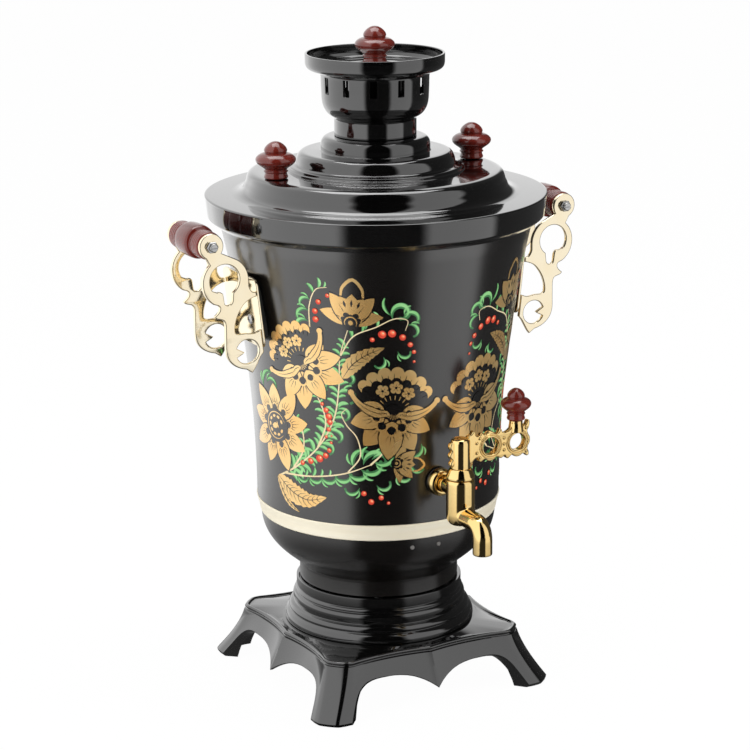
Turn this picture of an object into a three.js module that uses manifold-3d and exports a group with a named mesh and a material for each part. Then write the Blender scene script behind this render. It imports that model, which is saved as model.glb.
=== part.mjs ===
// An electric samovar on a four-legged stand, in millimetres, +Z up.
// The origin is on the table under the middle of the stand. The tap points to -Y, the handles to -X and +X.
import * as THREE from "three";
import { mergeVertices } from "three/addons/utils/BufferGeometryUtils.js";
import Module from "manifold-3d";

const wasm = await Module();
wasm.setup();

// Fits that many pieces share
const fit = {
  gap: 0.3, // between two pieces that rest on each other
  play: 0.4, // round a pin, a stud or a spigot in its hole
  overrun: 3, // how far a cut runs past the face it opens
  weld: 0.0001, // two corners closer than this are one
};

// How finely round pieces are cut into flats
const facets = {
  body: 24,
  crown: 20,
  hidden: 16,
  knob: 10,
  bolt: 8,
  petal: 6,
  wire: 5,
  hex: 6,
  curve: 4,
  flare: 4,
  tubeSteps: 22,
};

// Stand: a skirted casting on four curved legs
const stand = {
  height: 40, // to the edge of its top plate
  halfSide: 78.6, // from the middle to the crease on each side
  sideDip: 3.6, // how far each side draws in between crease and corner
  cornerReach: 103.4, // from the middle to a cut-off corner
  cornerWidth: 18.4,
  cornerBulge: 1,
  wall: 2.6,
  legDepth: 9, // from the outer face of a leg to its back
  legFlare: 26, // how far a foot stands out beyond its corner
  toeRound: 3,
  skirtFlare: 12, // how far the tip of a tooth stands out beyond its crease
  toothClearance: 13.6, // from the table to the tip of a tooth
  archRise: 26,
  archHalfWidth: 73,
  beadWidth: 3.4,
  beadHeight: 1.3,
  plateRise: 2.3, // from the groove inside the bead to the flat seat in the middle
  padProud: 0.8, // how far the rubber pads lift the feet off the table
};
const footPad = { radius: 3.8, height: 2 };

// Collar between stand and body
const collar = { height: 31.7, topLip: 2.6, spread: 9, wall: 3, floor: 2.4 };

// Body, from the waist up
const body = {
  waistRadius: 57.8,
  waistHeight: 10, // plain round part above the collar
  bowlRise: 42,
  bowlRadius: 85.3, // at the gold band
  bandHeight: 12.3,
  bandProud: 0.5,
  bandFlare: 2.7, // how much wider the body is just above the gold band than at the bowl
  flareHeight: 195.7,
  flare: 22, // how much wider the casing is at the top
  neckHeight: 20, // upright part hidden by the lid
  shellWall: 1.2,
  bowlWall: 2.4,
};
const tank = { wall: 1, space: 3, floorDrop: 4, corner: 10, flangeWall: 1 };
const rim = { wall: 1.2, height: 8, space: 0.4 };

// Lid and what it carries
const lid = {
  overhang: 11.6, // how far its edge stands out beyond the casing
  wall: 1.7,
  bandHeight: 16, // upright edge of the lid
  rollHeight: 5, // rolled part below the upright edge
  rollSpace: 2.6, // between the rolled part and the widest part of the casing
  domeInset: 30.2, // from the lid's edge in to the dome
  domeRise: 16, // from the flat brim to the flat ring that carries the knobs
  domeFoot: 8.6, // how far the hollow foot of the dome spreads on the brim
  beadInset: 29.4, // from the dome's edge in to the bead round the step
  beadHeight: 3,
  stepInset: 5.4, // from the bead in to the step
  stepRise: 13.4,
  collarRadius: 38.8,
  collarRise: 10.6,
  mouthRadius: 26.8,
};
const crown = {
  rimRadius: 49.2,
  rimHeight: 10,
  bowlRadius: 38.4,
  neckHeight: 11,
  height: 57.6, // from its seat on the lid to the top of its rim
  wall: 1.7,
  spigotDepth: 7,
  slotWidth: 5,
  slotHeight: 12,
  slotSpace: 1.6, // from the shoulder under the rim down to a slot
  floorWall: 1.8,
};
const chimney = { radius: 21, wall: 1.4, flangeReach: 4.6, flangeWall: 1.5, flangeSpace: 1.9, height: 45 };
const cap = { radius: 21.6, rise: 2.6, wall: 1.4, skirtDepth: 7, skirtSpace: 0.7 };
const knob = { radius: 14.1, height: 25.8, studRadius: 2, studLength: 11, studHead: 4.2, studHeadHeight: 2 };

// Tap
const tap = {
  rise: 29.4, // from the casing's lower edge up to the inlet pipe
  standoff: 31.5, // from the casing's lower edge out to the barrel's axis
  barrelRadius: 10,
  barrelTop: 10, // above the pipe
  barrelBottom: 23.4, // below the pipe
  barrelRound: 7,
  pipeRadius: 5.4,
  pipeBore: 3.2,
  boreSpace: 0.4, // between the key's stem and the bore
  boreFloor: 7.4, // left under the bore
  spoutRadius: 6.8,
  spoutBore: 4.2,
  spoutDrop: 16, // from the pipe down to the spout's upper run
  spoutReach: 29.8,
  spoutFall: 20.4,
  spoutBend: 9,
  flangeRadius: 10,
  flangeDepth: 6,
  gasketDepth: 1,
  nutRadius: 9.7,
  nutDepth: 5,
  threadOverhang: 2,
};
const bonnet = { height: 7.4, topRadius: 7.6, lip: 2.4 };
const key = {
  stemRadius: 5.5,
  stemSpace: 2, // between the stem's end and the floor of the bore
  plugRadius: 6.7,
  plugRise: 8.5, // above the ring centres
  portRadius: 3,
  capChamfer: 1.6,
  plateDepth: 4.4,
  ringRadius: 9.4,
  holeRadius: 6.1,
  firstRing: 22.8, // from the plug's axis to the first ring
  ringLap: 0.68, // how far the facing lobes of the two rings reach into each other
  leverSpace: 1.1, // between the bonnet and the lowest lobes
  lobeRadius: 2.1,
  neckHeight: 19,
  tailReach: 7.4,
  bossRadius: 4.7,
  bossHeight: 6,
  rimDepth: 0.9,
  rimWall: 1.5,
};
const keyKnob = { radius: 10.6, height: 22.4, studRadius: 1.7, studLength: 9 };

// Handles: two scroll plates, a turned grip, a bolt, a bracket and a pad
const handle = {
  spacing: 48, // between the two scroll plates
  plate: 3,
  gripClearance: 7.4, // between the lid's edge and the grip
  gripDrop: 16, // from the casing's top edge down to the grip's axis
  gripRadius: 12,
  gripEndRadius: 9.7,
  eyeRadius: 9,
  scrollDrop: 94, // from the grip's axis down to the lowest scroll
  gripNotch: 13, // from a plate to the notch in the grip
  boltRadius: 2.2,
  boltHeadRadius: 4.3,
  boltHeadHeight: 2.4,
  boltTipRadius: 3,
  boltTipHeight: 2.2,
  slotWidth: 0.9,
  slotDepth: 1.2,
  nutHeight: 3,
  bracketWall: 1.8,
  bracketHeight: 50,
  bracketStandoff: 3.4,
  bracketCorner: 6,
  padInset: 4,
  screwSpread: 12,
  screwRadius: 1.7,
  screwHeadRadius: 3.6,
  screwHeadHeight: 1.8,
  screwDrop: 6,
};

// Heating and switching
const heater = {
  tube: 3.6,
  loopRadius: 52,
  height: 14,
  legSpread: 14,
  legDepth: 14,
  nutRadius: 7,
  nutHeight: 4,
};
const thermostat = { radius: 9.5, height: 8, reach: 24 };
const socket = {
  halfWidth: 26,
  corner: 4,
  height: 22,
  rise: 11.1, // above the waist
  inset: 3.3, // how far its face lies inside the bowl's widest circle
  depth: 26,
  recessDepth: 11,
  recessWidth: 23.4,
  recessHeight: 15.6,
  recessShift: 11.4,
  pinWidth: 2,
  pinHeight: 4,
  pinLength: 8,
  pinSpread: 7,
  pinRise: 2.6,
};
const rocker = { width: 10, height: 16, depth: 5, shift: 14.2, bulge: 1.4, space: 0.8 };
const lamp = { radius: 1.5, length: 4.4, head: 0.5, drop: 6.3 };
const wire = { radius: 1.3, rise: 6 };

// Counts, and angles in degrees
const counts = { crownSlots: 12 };
const angles = { bracketTilt: 6.6, firstLamp: -102, secondLamp: -88.3, facingLobe: 18 };

// Tie rod and bottom cover
const tie = { radius: 3, nutRadius: 6.4, nutHeight: 5, headRadius: 8, headHeight: 3 };
const cover = { radius: 56, wall: 2, lip: 6, depth: 4 };

// Heights above the table that follow from the sizes
const seatTop = stand.height + stand.plateRise;
const collarTop = seatTop + fit.gap + collar.height;
const bowlBottom = collarTop + body.waistHeight;
const bowlTop = bowlBottom + body.bowlRise;
const shellBottom = bowlTop + body.bandHeight;
const flareTop = shellBottom + body.flareHeight;
const shellTop = flareTop + body.neckHeight;
const tankFlangeBottom = shellTop + fit.gap;
const rimTop = tankFlangeBottom + tank.flangeWall + fit.gap + rim.wall;
const brimTop = rimTop + fit.gap + lid.wall;
const knobSeat = brimTop + lid.domeRise;
const stepTop = knobSeat + lid.stepRise;
const collarSeat = stepTop + lid.collarRise;
const crownSeat = collarSeat + fit.gap;
const crownTop = crownSeat + crown.height;
const chimneyBottom = crownSeat + crown.floorWall + fit.gap;
const capSeat = chimneyBottom + chimney.height + fit.gap;
const capTop = capSeat + cap.rise;
const tankBottom = shellBottom - tank.floorDrop;
const tapHeight = shellBottom + tap.rise;
const gripHeight = shellTop - handle.gripDrop;
const lampHeight = bowlTop - lamp.drop;
const socketBottom = bowlBottom + socket.rise;

// Reaches from the middle that follow from the sizes
const collarTopRadius = body.waistRadius + collar.topLip;
const collarRadius = collarTopRadius + collar.spread;
const shellRadius = body.bowlRadius + body.bandFlare;
const casingTopRadius = shellRadius + body.flare;
const lidRadius = casingTopRadius + lid.overhang;
const domeRadius = lidRadius - lid.domeInset;
const chimneyFlangeRadius = chimney.radius + chimney.flangeReach;
const crownNeckRadius = chimneyFlangeRadius + chimney.flangeSpace + crown.wall;
const barrelReach = shellRadius + tap.standoff;
const socketFace = body.bowlRadius - socket.inset;

// Sizes of the tap that follow from others, with heights taken above its pipe
const boreRadius = key.stemRadius + tap.boreSpace;
const boreBottom = tap.boreFloor - tap.barrelBottom;
const bonnetTop = tap.barrelTop + fit.gap + bonnet.height;
const ringHeight = bonnetTop + key.leverSpace + key.lobeRadius + key.ringRadius;
const plugTop = ringHeight + key.plugRise;
const ringEdge = key.ringRadius * Math.cos(THREE.MathUtils.degToRad(angles.facingLobe)) + key.lobeRadius;
const secondRing = key.firstRing + 2 * ringEdge - key.ringLap;
const beadRadius = domeRadius - lid.beadInset;
const stepRadius = beadRadius - lid.stepInset;
const lidKnobReach = (beadRadius + domeRadius) / 2 + lid.wall;
const gripReach = lidRadius + handle.gripClearance + handle.gripRadius;

// The bracket's middle is at this share of a scroll plate's drop below the grip
const bracketShare = 0.546;
const bracketMiddle = gripHeight - handle.scrollDrop * bracketShare;

// Finishes, with colours as seen
const finish = {
  lacquer: { color: 0x0b0a0a, roughness: 0.12, metalness: 0.0 },
  satin: { color: 0x15110f, roughness: 0.32, metalness: 0.0 },
  brass: { color: 0xe3bd63, roughness: 0.14, metalness: 1.0 },
  knobRed: { color: 0x5a1512, roughness: 0.25, metalness: 0.0 },
  steel: { color: 0xc4c5c6, roughness: 0.3, metalness: 1.0 },
  plastic: { color: 0x161616, roughness: 0.55, metalness: 0.0 },
  rubber: { color: 0x1c1c1c, roughness: 0.9, metalness: 0.0 },
  lens: { color: 0x9a9a96, roughness: 0.2, metalness: 0.0 },
};

const samovar = new THREE.Group();

// A named mesh with its finish, in a group
function addMesh(parent, name, geometry, look) {
  const mesh = new THREE.Mesh(geometry, new THREE.MeshStandardMaterial(finish[look]));
  mesh.name = name;
  parent.add(mesh);
  return mesh;
}

// Booleans

function solid(geometry) {
  const bare = geometry.clone();
  bare.deleteAttribute("normal");
  bare.deleteAttribute("uv");
  const merged = mergeVertices(bare, fit.weld);
  const vertProperties = new Float32Array(merged.attributes.position.array);
  const triVerts = new Uint32Array(merged.index.array);
  return new wasm.Manifold(new wasm.Mesh({ numProp: 3, vertProperties, triVerts }));
}

function geometryOf(made) {
  const mesh = made.getMesh();
  const geometry = new THREE.BufferGeometry();
  geometry.setAttribute("position", new THREE.BufferAttribute(new Float32Array(mesh.vertProperties), 3));
  geometry.setIndex(new THREE.BufferAttribute(new Uint32Array(mesh.triVerts), 1));
  geometry.computeVertexNormals();
  return geometry;
}

const join = (geometries) => geometryOf(geometries.map(solid).reduce((sum, piece) => sum.add(piece)));

const cut = (geometry, cutters) =>
  geometryOf(cutters.map(solid).reduce((rest, cutter) => rest.subtract(cutter), solid(geometry)));

// Shapes

const at = (radius, height) => new THREE.Vector2(radius, height);

const mix = (from, to, share) => from + (to - from) * share;

// Points of a curve after its start, drawn by two pulls
function bend(start, startPull, endPull, end, steps = facets.curve) {
  return new THREE.CubicBezierCurve(start, startPull, endPull, end).getPoints(steps).slice(1);
}

// Points on part of a circle, angles in degrees
function arc(centre, radius, from, to, steps = facets.curve) {
  return Array.from({ length: steps + 1 }, (_, i) => {
    const angle = THREE.MathUtils.degToRad(mix(from, to, i / steps));
    return at(centre.x + radius * Math.cos(angle), centre.y + radius * Math.sin(angle));
  });
}

// The same line moved towards the axis by a wall
function inset(line, wall) {
  return line.map((point, i) => {
    const before = point.clone().sub(line[Math.max(i - 1, 0)]).normalize();
    const after = line[Math.min(i + 1, line.length - 1)].clone().sub(point).normalize();
    const along = before.clone().add(after).normalize();
    const inward = at(-along.y, along.x);
    const side = i ? before : after;
    const spread = Math.abs(inward.dot(at(-side.y, side.x)));
    return point.clone().addScaledVector(inward, wall / spread);
  });
}

// A solid of revolution about Z; the profile goes up on its outer side
function revolve(profile, steps = facets.body) {
  return new THREE.LatheGeometry(profile, steps).rotateX(Math.PI / 2);
}

const closed = (profile) => [...profile, profile[0].clone()];

// Points given as shares of a width and a height, from a corner
const placed = (shares, corner, width, height) =>
  shares.map(([across, up]) => at(corner.x + width * across, corner.y + height * up));

// A sheet between two lines, or of even wall along its outer line
const revolveBetween = (outer, inner, steps) =>
  revolve(closed([...outer, ...inner.slice().reverse()]), steps);

const revolveSheet = (line, wall, steps) => revolveBetween(line, inset(line, wall), steps);

// A ring or a round bar along Z
function ring(outer, inner, bottom, top, steps = facets.bolt) {
  if (!inner) return revolve([at(0, bottom), at(outer, bottom), at(outer, top), at(0, top)], steps);
  return revolve(closed([at(inner, bottom), at(outer, bottom), at(outer, top), at(inner, top)]), steps);
}

const bar = (radius, bottom, top, steps) => ring(radius, 0, bottom, top, steps);

// A hexagon nut along Z with a round hole
function hexNut(radius, hole, bottom, top, steps = facets.bolt) {
  const shape = new THREE.Shape(arc(at(0, 0), radius, 0, 360, facets.hex).slice(1));
  shape.holes.push(new THREE.Path(arc(at(0, 0), hole, 0, 360, steps).slice(1)));
  const geometry = new THREE.ExtrudeGeometry(shape, { depth: top - bottom, bevelEnabled: false });
  return geometry.translate(0, 0, bottom);
}

function box(from, to) {
  const size = to.clone().sub(from);
  const middle = from.clone().add(to).multiplyScalar(1 / 2);
  return new THREE.BoxGeometry(size.x, size.y, size.z).translate(middle.x, middle.y, middle.z);
}

const xyz = (x, y, z) => new THREE.Vector3(x, y, z);

// A bar that lies along Y or X
const alongY = (geometry) => geometry.rotateX(-Math.PI / 2);
const alongX = (geometry) => geometry.rotateY(Math.PI / 2);

// An outline in the XZ plane made thick along Y, centred on the plane
function slab(shape, depth) {
  const options = { depth, bevelEnabled: false, curveSegments: facets.curve };
  const geometry = new THREE.ExtrudeGeometry(shape, options);
  return geometry.rotateX(Math.PI / 2).translate(0, depth / 2, 0);
}

// A rectangle with round corners, centred on the middle
function roundedShape(width, height, corner) {
  const corners = [
    [1, -1],
    [1, 1],
    [-1, 1],
    [-1, -1],
  ];
  const outline = corners.flatMap(([across, up], i) => {
    const centre = at(across * (width / 2 - corner), up * (height / 2 - corner));
    return arc(centre, corner, 90 * (i - 1), 90 * i, facets.curve / 2);
  });
  return new THREE.Shape(outline);
}

// A round tube along a curve
function tube(curve, radius, steps, sides) {
  const section = new THREE.Shape(arc(at(0, 0), radius, 0, 360, sides).slice(0, -1));
  return new THREE.ExtrudeGeometry(section, { steps, extrudePath: curve, bevelEnabled: false });
}

// Radius of a line of points at a height
function radiusOn(line, height) {
  const i = Math.max(line.findIndex((point) => point.y >= height), 1);
  const share = (height - line[i - 1].y) / (line[i].y - line[i - 1].y);
  return mix(line[i - 1].x, line[i].x, share);
}

// Outer line of the casing: a parabola that widens towards the lid, then an upright neck
function casingLine() {
  const flareLine = Array.from({ length: facets.flare + 1 }, (_, i) => {
    const share = i / facets.flare;
    return at(shellRadius + body.flare * share ** 2, mix(shellBottom, flareTop, share));
  });
  return [...flareLine, at(casingTopRadius, shellTop)];
}

const casingRadius = (height) => radiusOn(casingLine(), height);

// Stand

// Plan of the stand in one octant, from the crease in the middle of a side to the middle of a corner
function octantPlan() {
  const shoulder = (stand.cornerReach - stand.cornerBulge) / Math.SQRT2;
  const half = stand.cornerWidth / 2 / Math.SQRT2;
  const crease = at(stand.halfSide, 0);
  const cornerStart = at(shoulder + half, shoulder - half);
  const pull = at(stand.halfSide - 2 * stand.sideDip, cornerStart.y / 2);
  const side = new THREE.QuadraticBezierCurve(crease, pull, cornerStart).getPoints(facets.curve);
  const corner = at(stand.cornerReach / Math.SQRT2, stand.cornerReach / Math.SQRT2);
  const legShare = (i) => THREE.MathUtils.smoothstep(i / facets.curve, 0.5, 1);
  const points = side.map((point, i) => ({ point, leg: legShare(i) }));
  return [...points, { point: corner, leg: 1 }];
}

// Plan all round, counter-clockwise, with the outward direction at each point
function standPlan() {
  const octant = octantPlan().map(({ point, leg }) => ({ point, leg, out: at(1, leg).normalize() }));
  const mirrored = octant
    .slice(1, -1)
    .reverse()
    .map(({ point, leg, out }) => ({ point: at(point.y, point.x), leg, out: at(out.y, out.x) }));
  const quarter = [...octant, ...mirrored];
  const turned = (angle) =>
    quarter.map(({ point, leg, out }) => ({
      point: point.clone().rotateAround(at(0, 0), angle),
      leg,
      out: out.clone().rotateAround(at(0, 0), angle),
    }));
  return [0, 1, 2, 3].flatMap((turn) => turned((turn * Math.PI) / 2));
}

// How far the skirt or a leg stands out at a depth below the plate
function flareAt(depth, leg) {
  const skirt = stand.skirtFlare * (depth / (stand.height - stand.toothClearance)) ** 1.1;
  const foot = stand.legFlare * (depth / stand.height) ** 1.45;
  return mix(skirt, foot, leg);
}

// Below this share of the stand's height the back of a leg is upright
const footShare = 0.82;

// Rows of the stand's sides, as shares of its height below the plate
const rowShares = [footShare, 0.52, 0.24];

// A solid through rows, each a plan at its height
function loftStand(rows, plan) {
  const loft = new THREE.LatheGeometry(
    rows.map((row) => at(1, row.height)),
    plan.length,
  );
  const position = loft.attributes.position;
  for (let column = 0; column <= plan.length; column += 1) {
    const place = plan[column % plan.length];
    rows.forEach((row, i) => {
      const spot = row.place(place);
      position.setXYZ(column * rows.length + i, spot.x, spot.y, row.height);
    });
  }
  return loft;
}

const onAxis = () => at(0, 0);
const moved = (place, distance) => place.point.clone().addScaledVector(place.out, distance);

function standSolid(plan) {
  const toe = (place) => moved(place, flareAt(stand.height - stand.toeRound, place.leg) - stand.toeRound);
  const skirtRow = (height) => ({
    height,
    place: (place) => moved(place, flareAt(stand.height - height, place.leg)),
  });
  const insetRow = (height, distance) => ({ height, place: (place) => moved(place, -distance) });
  const groove = stand.height - stand.beadHeight / 2;
  return loftStand(
    [
      { height: stand.padProud, place: onAxis },
      { height: stand.padProud, place: toe },
      skirtRow(stand.padProud + stand.toeRound),
      ...rowShares.map((share) => skirtRow(stand.height * (1 - share))),
      insetRow(stand.height, 0),
      insetRow(stand.height + stand.beadHeight, stand.beadWidth * 0.3),
      insetRow(stand.height + stand.beadHeight, stand.beadWidth * 0.7),
      insetRow(groove, stand.beadWidth),
      { height: seatTop, place: (place) => place.point.clone().setLength(collarRadius + stand.wall / 2) },
      { height: seatTop, place: onAxis },
    ],
    plan,
  );
}

// The hollow under the plate: the skirt keeps its wall and each leg its depth
function standHollow(plan) {
  const thickness = (place) => mix(stand.wall, stand.legDepth, place.leg);
  const row = (height, depth) => ({
    height,
    place: (place) => moved(place, flareAt(depth, place.leg) - thickness(place)),
  });
  const top = stand.height - stand.wall;
  const bottom = -fit.overrun;
  return loftStand(
    [
      { height: bottom, place: onAxis },
      row(bottom, stand.height * footShare),
      ...rowShares.map((share) => row(stand.height * (1 - share), stand.height * share)),
      row(top, stand.wall),
      { height: top, place: onAxis },
    ],
    plan,
  );
}

// Outline of the two arches on one side, with the tooth between them, cut through the stand along Y
function archCutter() {
  const width = stand.archHalfWidth;
  const rise = stand.archRise;
  const tip = stand.toothClearance;
  const apexShare = 0.52;
  const arch = new THREE.Shape();
  arch.moveTo(width, -fit.overrun);
  arch.lineTo(width, 0);
  arch.bezierCurveTo(width * 0.88, rise * 0.86, width * 0.76, rise, width * apexShare, rise);
  arch.bezierCurveTo(width * 0.34, rise, width * 0.16, mix(tip, rise, 0.8), 0, tip);
  arch.bezierCurveTo(-width * 0.16, mix(tip, rise, 0.8), -width * 0.34, rise, -width * apexShare, rise);
  arch.bezierCurveTo(-width * 0.76, rise, -width * 0.88, rise * 0.86, -width, 0);
  arch.lineTo(-width, -fit.overrun);
  return slab(arch, 2 * (stand.cornerReach + stand.legFlare));
}

// Middle of a foot pad, out along a diagonal
function padReach() {
  const toe = flareAt(stand.height - stand.toeRound, 1) - stand.toeRound;
  const back = flareAt(stand.height * footShare, 1) - stand.legDepth;
  return stand.cornerReach + mix(back, toe, 0.5);
}

function eachDiagonal(make) {
  return [45, 135, 225, 315].map((angle) => {
    const turn = THREE.MathUtils.degToRad(angle);
    return make(padReach() * Math.cos(turn), padReach() * Math.sin(turn));
  });
}

function addStand() {
  const plan = standPlan();
  const pocketTop = footPad.height + fit.gap;
  const pocketRadius = footPad.radius + fit.gap;
  const pockets = eachDiagonal((x, y) => bar(pocketRadius, -fit.overrun, pocketTop).translate(x, y, 0));
  const rodHole = bar(tie.radius + fit.play, 0, seatTop + fit.overrun);
  const cutters = [standHollow(plan), archCutter(), archCutter().rotateZ(Math.PI / 2), rodHole, ...pockets];
  addMesh(samovar, "base_stand", cut(standSolid(plan), cutters), "lacquer");
  const names = ["foot_pad_back_right", "foot_pad_back_left", "foot_pad_front_left", "foot_pad_front_right"];
  const pads = eachDiagonal((x, y) => bar(footPad.radius, 0, footPad.height).translate(x, y, 0));
  pads.forEach((geometry, i) => addMesh(samovar, names[i], geometry, "rubber"));
}

// Dished cover under the stand's plate, held up by the tie rod's nut
function addBottomCover() {
  const top = stand.height - stand.wall - fit.gap;
  const bottom = top - cover.depth;
  const line = [
    at(tie.radius + fit.play, bottom),
    at(cover.radius - cover.lip, bottom),
    at(cover.radius, bottom + cover.wall),
    at(cover.radius, top),
  ];
  addMesh(samovar, "bottom_cover", revolveSheet(line, cover.wall, facets.hidden), "plastic");
}

// Collar

function addCollar() {
  const bottom = seatTop + fit.gap;
  // Steps of the collar from the bottom: how far out, and how high
  const stepShares = [
    [0.92, 0],
    [1, 0.06],
    [0.95, 0.14],
    [0.62, 0.23],
    [0.69, 0.28],
    [0.63, 0.33],
    [0.22, 0.4],
    [0.29, 0.45],
    [0.29, 0.55],
    [0.02, 0.65],
    [0.13, 0.69],
    [-0.07, 0.74],
    [0, 0.77],
    [-0.02, 1],
  ];
  const reach = collarRadius - collarTopRadius;
  const outer = placed(stepShares, at(collarTopRadius, bottom), reach, collar.height);
  const bore = collarTopRadius - collar.wall;
  const foot = bottom + collar.floor;
  const hole = tie.radius + fit.play;
  const inner = [at(bore, bottom + collar.height), at(bore, foot), at(hole, foot), at(hole, bottom)];
  addMesh(samovar, "pedestal_collar", revolve(closed([...outer, ...inner]), facets.crown), "lacquer");
}

// Bowl with its waist

function bowlLine() {
  const width = body.bowlRadius - body.waistRadius;
  const waist = at(body.waistRadius, bowlBottom);
  const edge = at(body.bowlRadius, bowlTop - fit.gap);
  const waistPull = at(body.waistRadius, mix(bowlBottom, bowlTop, 0.2));
  const edgePull = at(body.waistRadius + width * 0.96, mix(bowlBottom, bowlTop, 0.36));
  return [at(body.waistRadius, collarTop + fit.gap), waist, ...bend(waist, waistPull, edgePull, edge)];
}

const lampPlaces = () => [angles.firstLamp, angles.secondLamp].map(THREE.MathUtils.degToRad);

// A bar that stands out from the axis at an angle and a height
function spoke(radius, from, to, angle, height, steps = facets.bolt) {
  return alongX(bar(radius, from, to, steps)).rotateZ(angle).translate(0, 0, height);
}

// Block of the power inlet with its round corners, out to a face; the bowl is cut by a grown one
function socketBlock(grow, face) {
  const back = socketFace - socket.depth - grow;
  const width = 2 * (socket.halfWidth + grow);
  const shape = roundedShape(width, socket.height + 2 * grow, socket.corner + grow);
  return slab(shape, face - back).translate(0, mix(back, face, 0.5), socketBottom + socket.height / 2);
}

function addBowl() {
  const bottom = collarTop + fit.gap;
  const edge = body.waistRadius - body.bowlWall / 2;
  const plate = ring(edge, tie.radius + fit.play, bottom, bottom + body.bowlWall, facets.body);
  const through = body.bowlRadius + fit.overrun;
  const socketHole = socketBlock(fit.gap, through);
  const lampHoles = lampPlaces().map((angle) =>
    spoke(lamp.radius + fit.gap, body.waistRadius, through, angle, lampHeight, facets.knob),
  );
  const outer = bowlLine();
  const inner = inset(outer, body.bowlWall);
  inner.at(-1).y = outer.at(-1).y;
  const sheet = revolveBetween(outer, inner);
  const bowl = cut(join([sheet, plate]), [socketHole, ...lampHoles]);
  addMesh(samovar, "lower_bowl", bowl, "satin");
}

function addLamps() {
  const face = radiusOn(bowlLine(), lampHeight) + lamp.head;
  ["indicator_lens_left", "indicator_lens_right"].forEach((name, i) => {
    const lens = spoke(lamp.radius, face - lamp.length, face, lampPlaces()[i], lampHeight);
    addMesh(samovar, name, lens, "lens");
  });
}

// Gold band, a trim ring between bowl and casing
function addBand() {
  const proud = body.bandProud;
  const middle = mix(body.bowlRadius, shellRadius, 0.75);
  const line = [
    at(body.bowlRadius + proud, bowlTop),
    at(middle + proud, mix(bowlTop, shellBottom, 0.5)),
    at(shellRadius + proud, shellBottom - fit.gap),
  ];
  const inner = [line[0], line[2]].map((point) => at(point.x - body.bowlWall, point.y));
  addMesh(samovar, "gold_band", revolveBetween(line, inner), "brass");
}

// Casing

// Places a piece that is modelled round the +X handle's bracket: X out of the casing, 0 at the bracket's back
function onBracket(geometry) {
  const reach = casingRadius(bracketMiddle) + handle.bracketStandoff;
  const tilt = THREE.MathUtils.degToRad(angles.bracketTilt);
  return geometry.rotateY(tilt).translate(reach, 0, bracketMiddle);
}

// How far the faceted casing falls back at a distance to the side of an edge
const fallBack = (side) => side * Math.tan(Math.PI / facets.body);

// From the bracket's back to the tip of a screw, between casing and tank
function screwReach() {
  return handle.bracketStandoff + fallBack(handle.screwSpread) + body.shellWall + tank.space / 2;
}

// A piece for each of a bracket's two screws
function atScrews(make) {
  return [-1, 1].map((way) => {
    const piece = alongX(make()).translate(0, way * handle.screwSpread, -handle.screwDrop);
    return onBracket(piece);
  });
}

function screwHoles() {
  const reach = screwReach() + fit.overrun;
  return atScrews(() => bar(handle.screwRadius + fit.play, -reach, reach, facets.bolt));
}

// The hole for the tap's pipe, from the middle out
function pipeHole() {
  const hole = bar(tap.pipeRadius + fit.play, 0, barrelReach, facets.knob);
  return alongY(hole).rotateZ(Math.PI).translate(0, 0, tapHeight);
}

function addShell() {
  const left = screwHoles().map((hole) => hole.rotateZ(Math.PI));
  const shell = cut(revolveSheet(casingLine(), body.shellWall), [...screwHoles(), ...left, pipeHole()]);
  addMesh(samovar, "body_shell", shell, "satin");
}

// Tank and rim

// Outer radius of the tank's upright neck
const tankNeck = () => casingTopRadius - body.shellWall - tank.space;

// Outer line of the tank, from the middle of its floor up to its flange
function tankLine() {
  const lowHeight = shellBottom + tank.corner;
  const follow = Array.from({ length: facets.curve + 1 }, (_, i) => {
    const height = mix(lowHeight, flareTop, i / facets.curve);
    return at(casingRadius(height) - body.shellWall - tank.space, height);
  });
  const low = follow[0];
  const floor = at(low.x - tank.corner, tankBottom);
  const pull = at(low.x, tankBottom);
  const corner = bend(floor, pull, pull, low, facets.curve / 2);
  return [at(0, tankBottom), floor, ...corner, ...follow.slice(1), at(tankNeck(), tankFlangeBottom)];
}

function addTank() {
  const outside = tankLine();
  const inside = inset(outside, tank.wall).slice(1, -1).reverse();
  const flange = casingTopRadius - body.shellWall / 2;
  const flangeTop = tankFlangeBottom + tank.flangeWall;
  const profile = [
    ...outside,
    at(flange, tankFlangeBottom),
    at(flange, flangeTop),
    at(tankNeck() - tank.wall, flangeTop),
    ...inside,
    at(0, tankBottom + tank.wall),
  ];
  const legHoles = heaterLegs().map(([x, y]) => {
    const hole = bar(heater.tube + fit.play, tankBottom - fit.overrun, tankBottom + tank.wall + fit.overrun);
    return hole.translate(x, y, 0);
  });
  addMesh(samovar, "inner_tank", cut(revolve(profile), [pipeHole(), ...legHoles]), "steel");
}

function rimRadii() {
  const outer = casingTopRadius + rim.space + rim.wall;
  const inner = tankNeck() - tank.wall - rim.space - rim.wall;
  return { outer, inner };
}

// Rolled ring that clamps the tank's flange to the top of the casing
function addRim() {
  const { outer, inner } = rimRadii();
  const outside = [at(outer, rimTop - rim.height), at(outer, rimTop), at(inner, rimTop)];
  addMesh(samovar, "rim_ring", revolveSheet(outside, rim.wall), "lacquer");
}

// Heating element: one tube bent to a ring, with two legs through the tank's floor

const heaterLegs = () => [
  [-heater.legSpread, -heater.loopRadius + heater.legSpread],
  [heater.legSpread, -heater.loopRadius + heater.legSpread],
];

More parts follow.
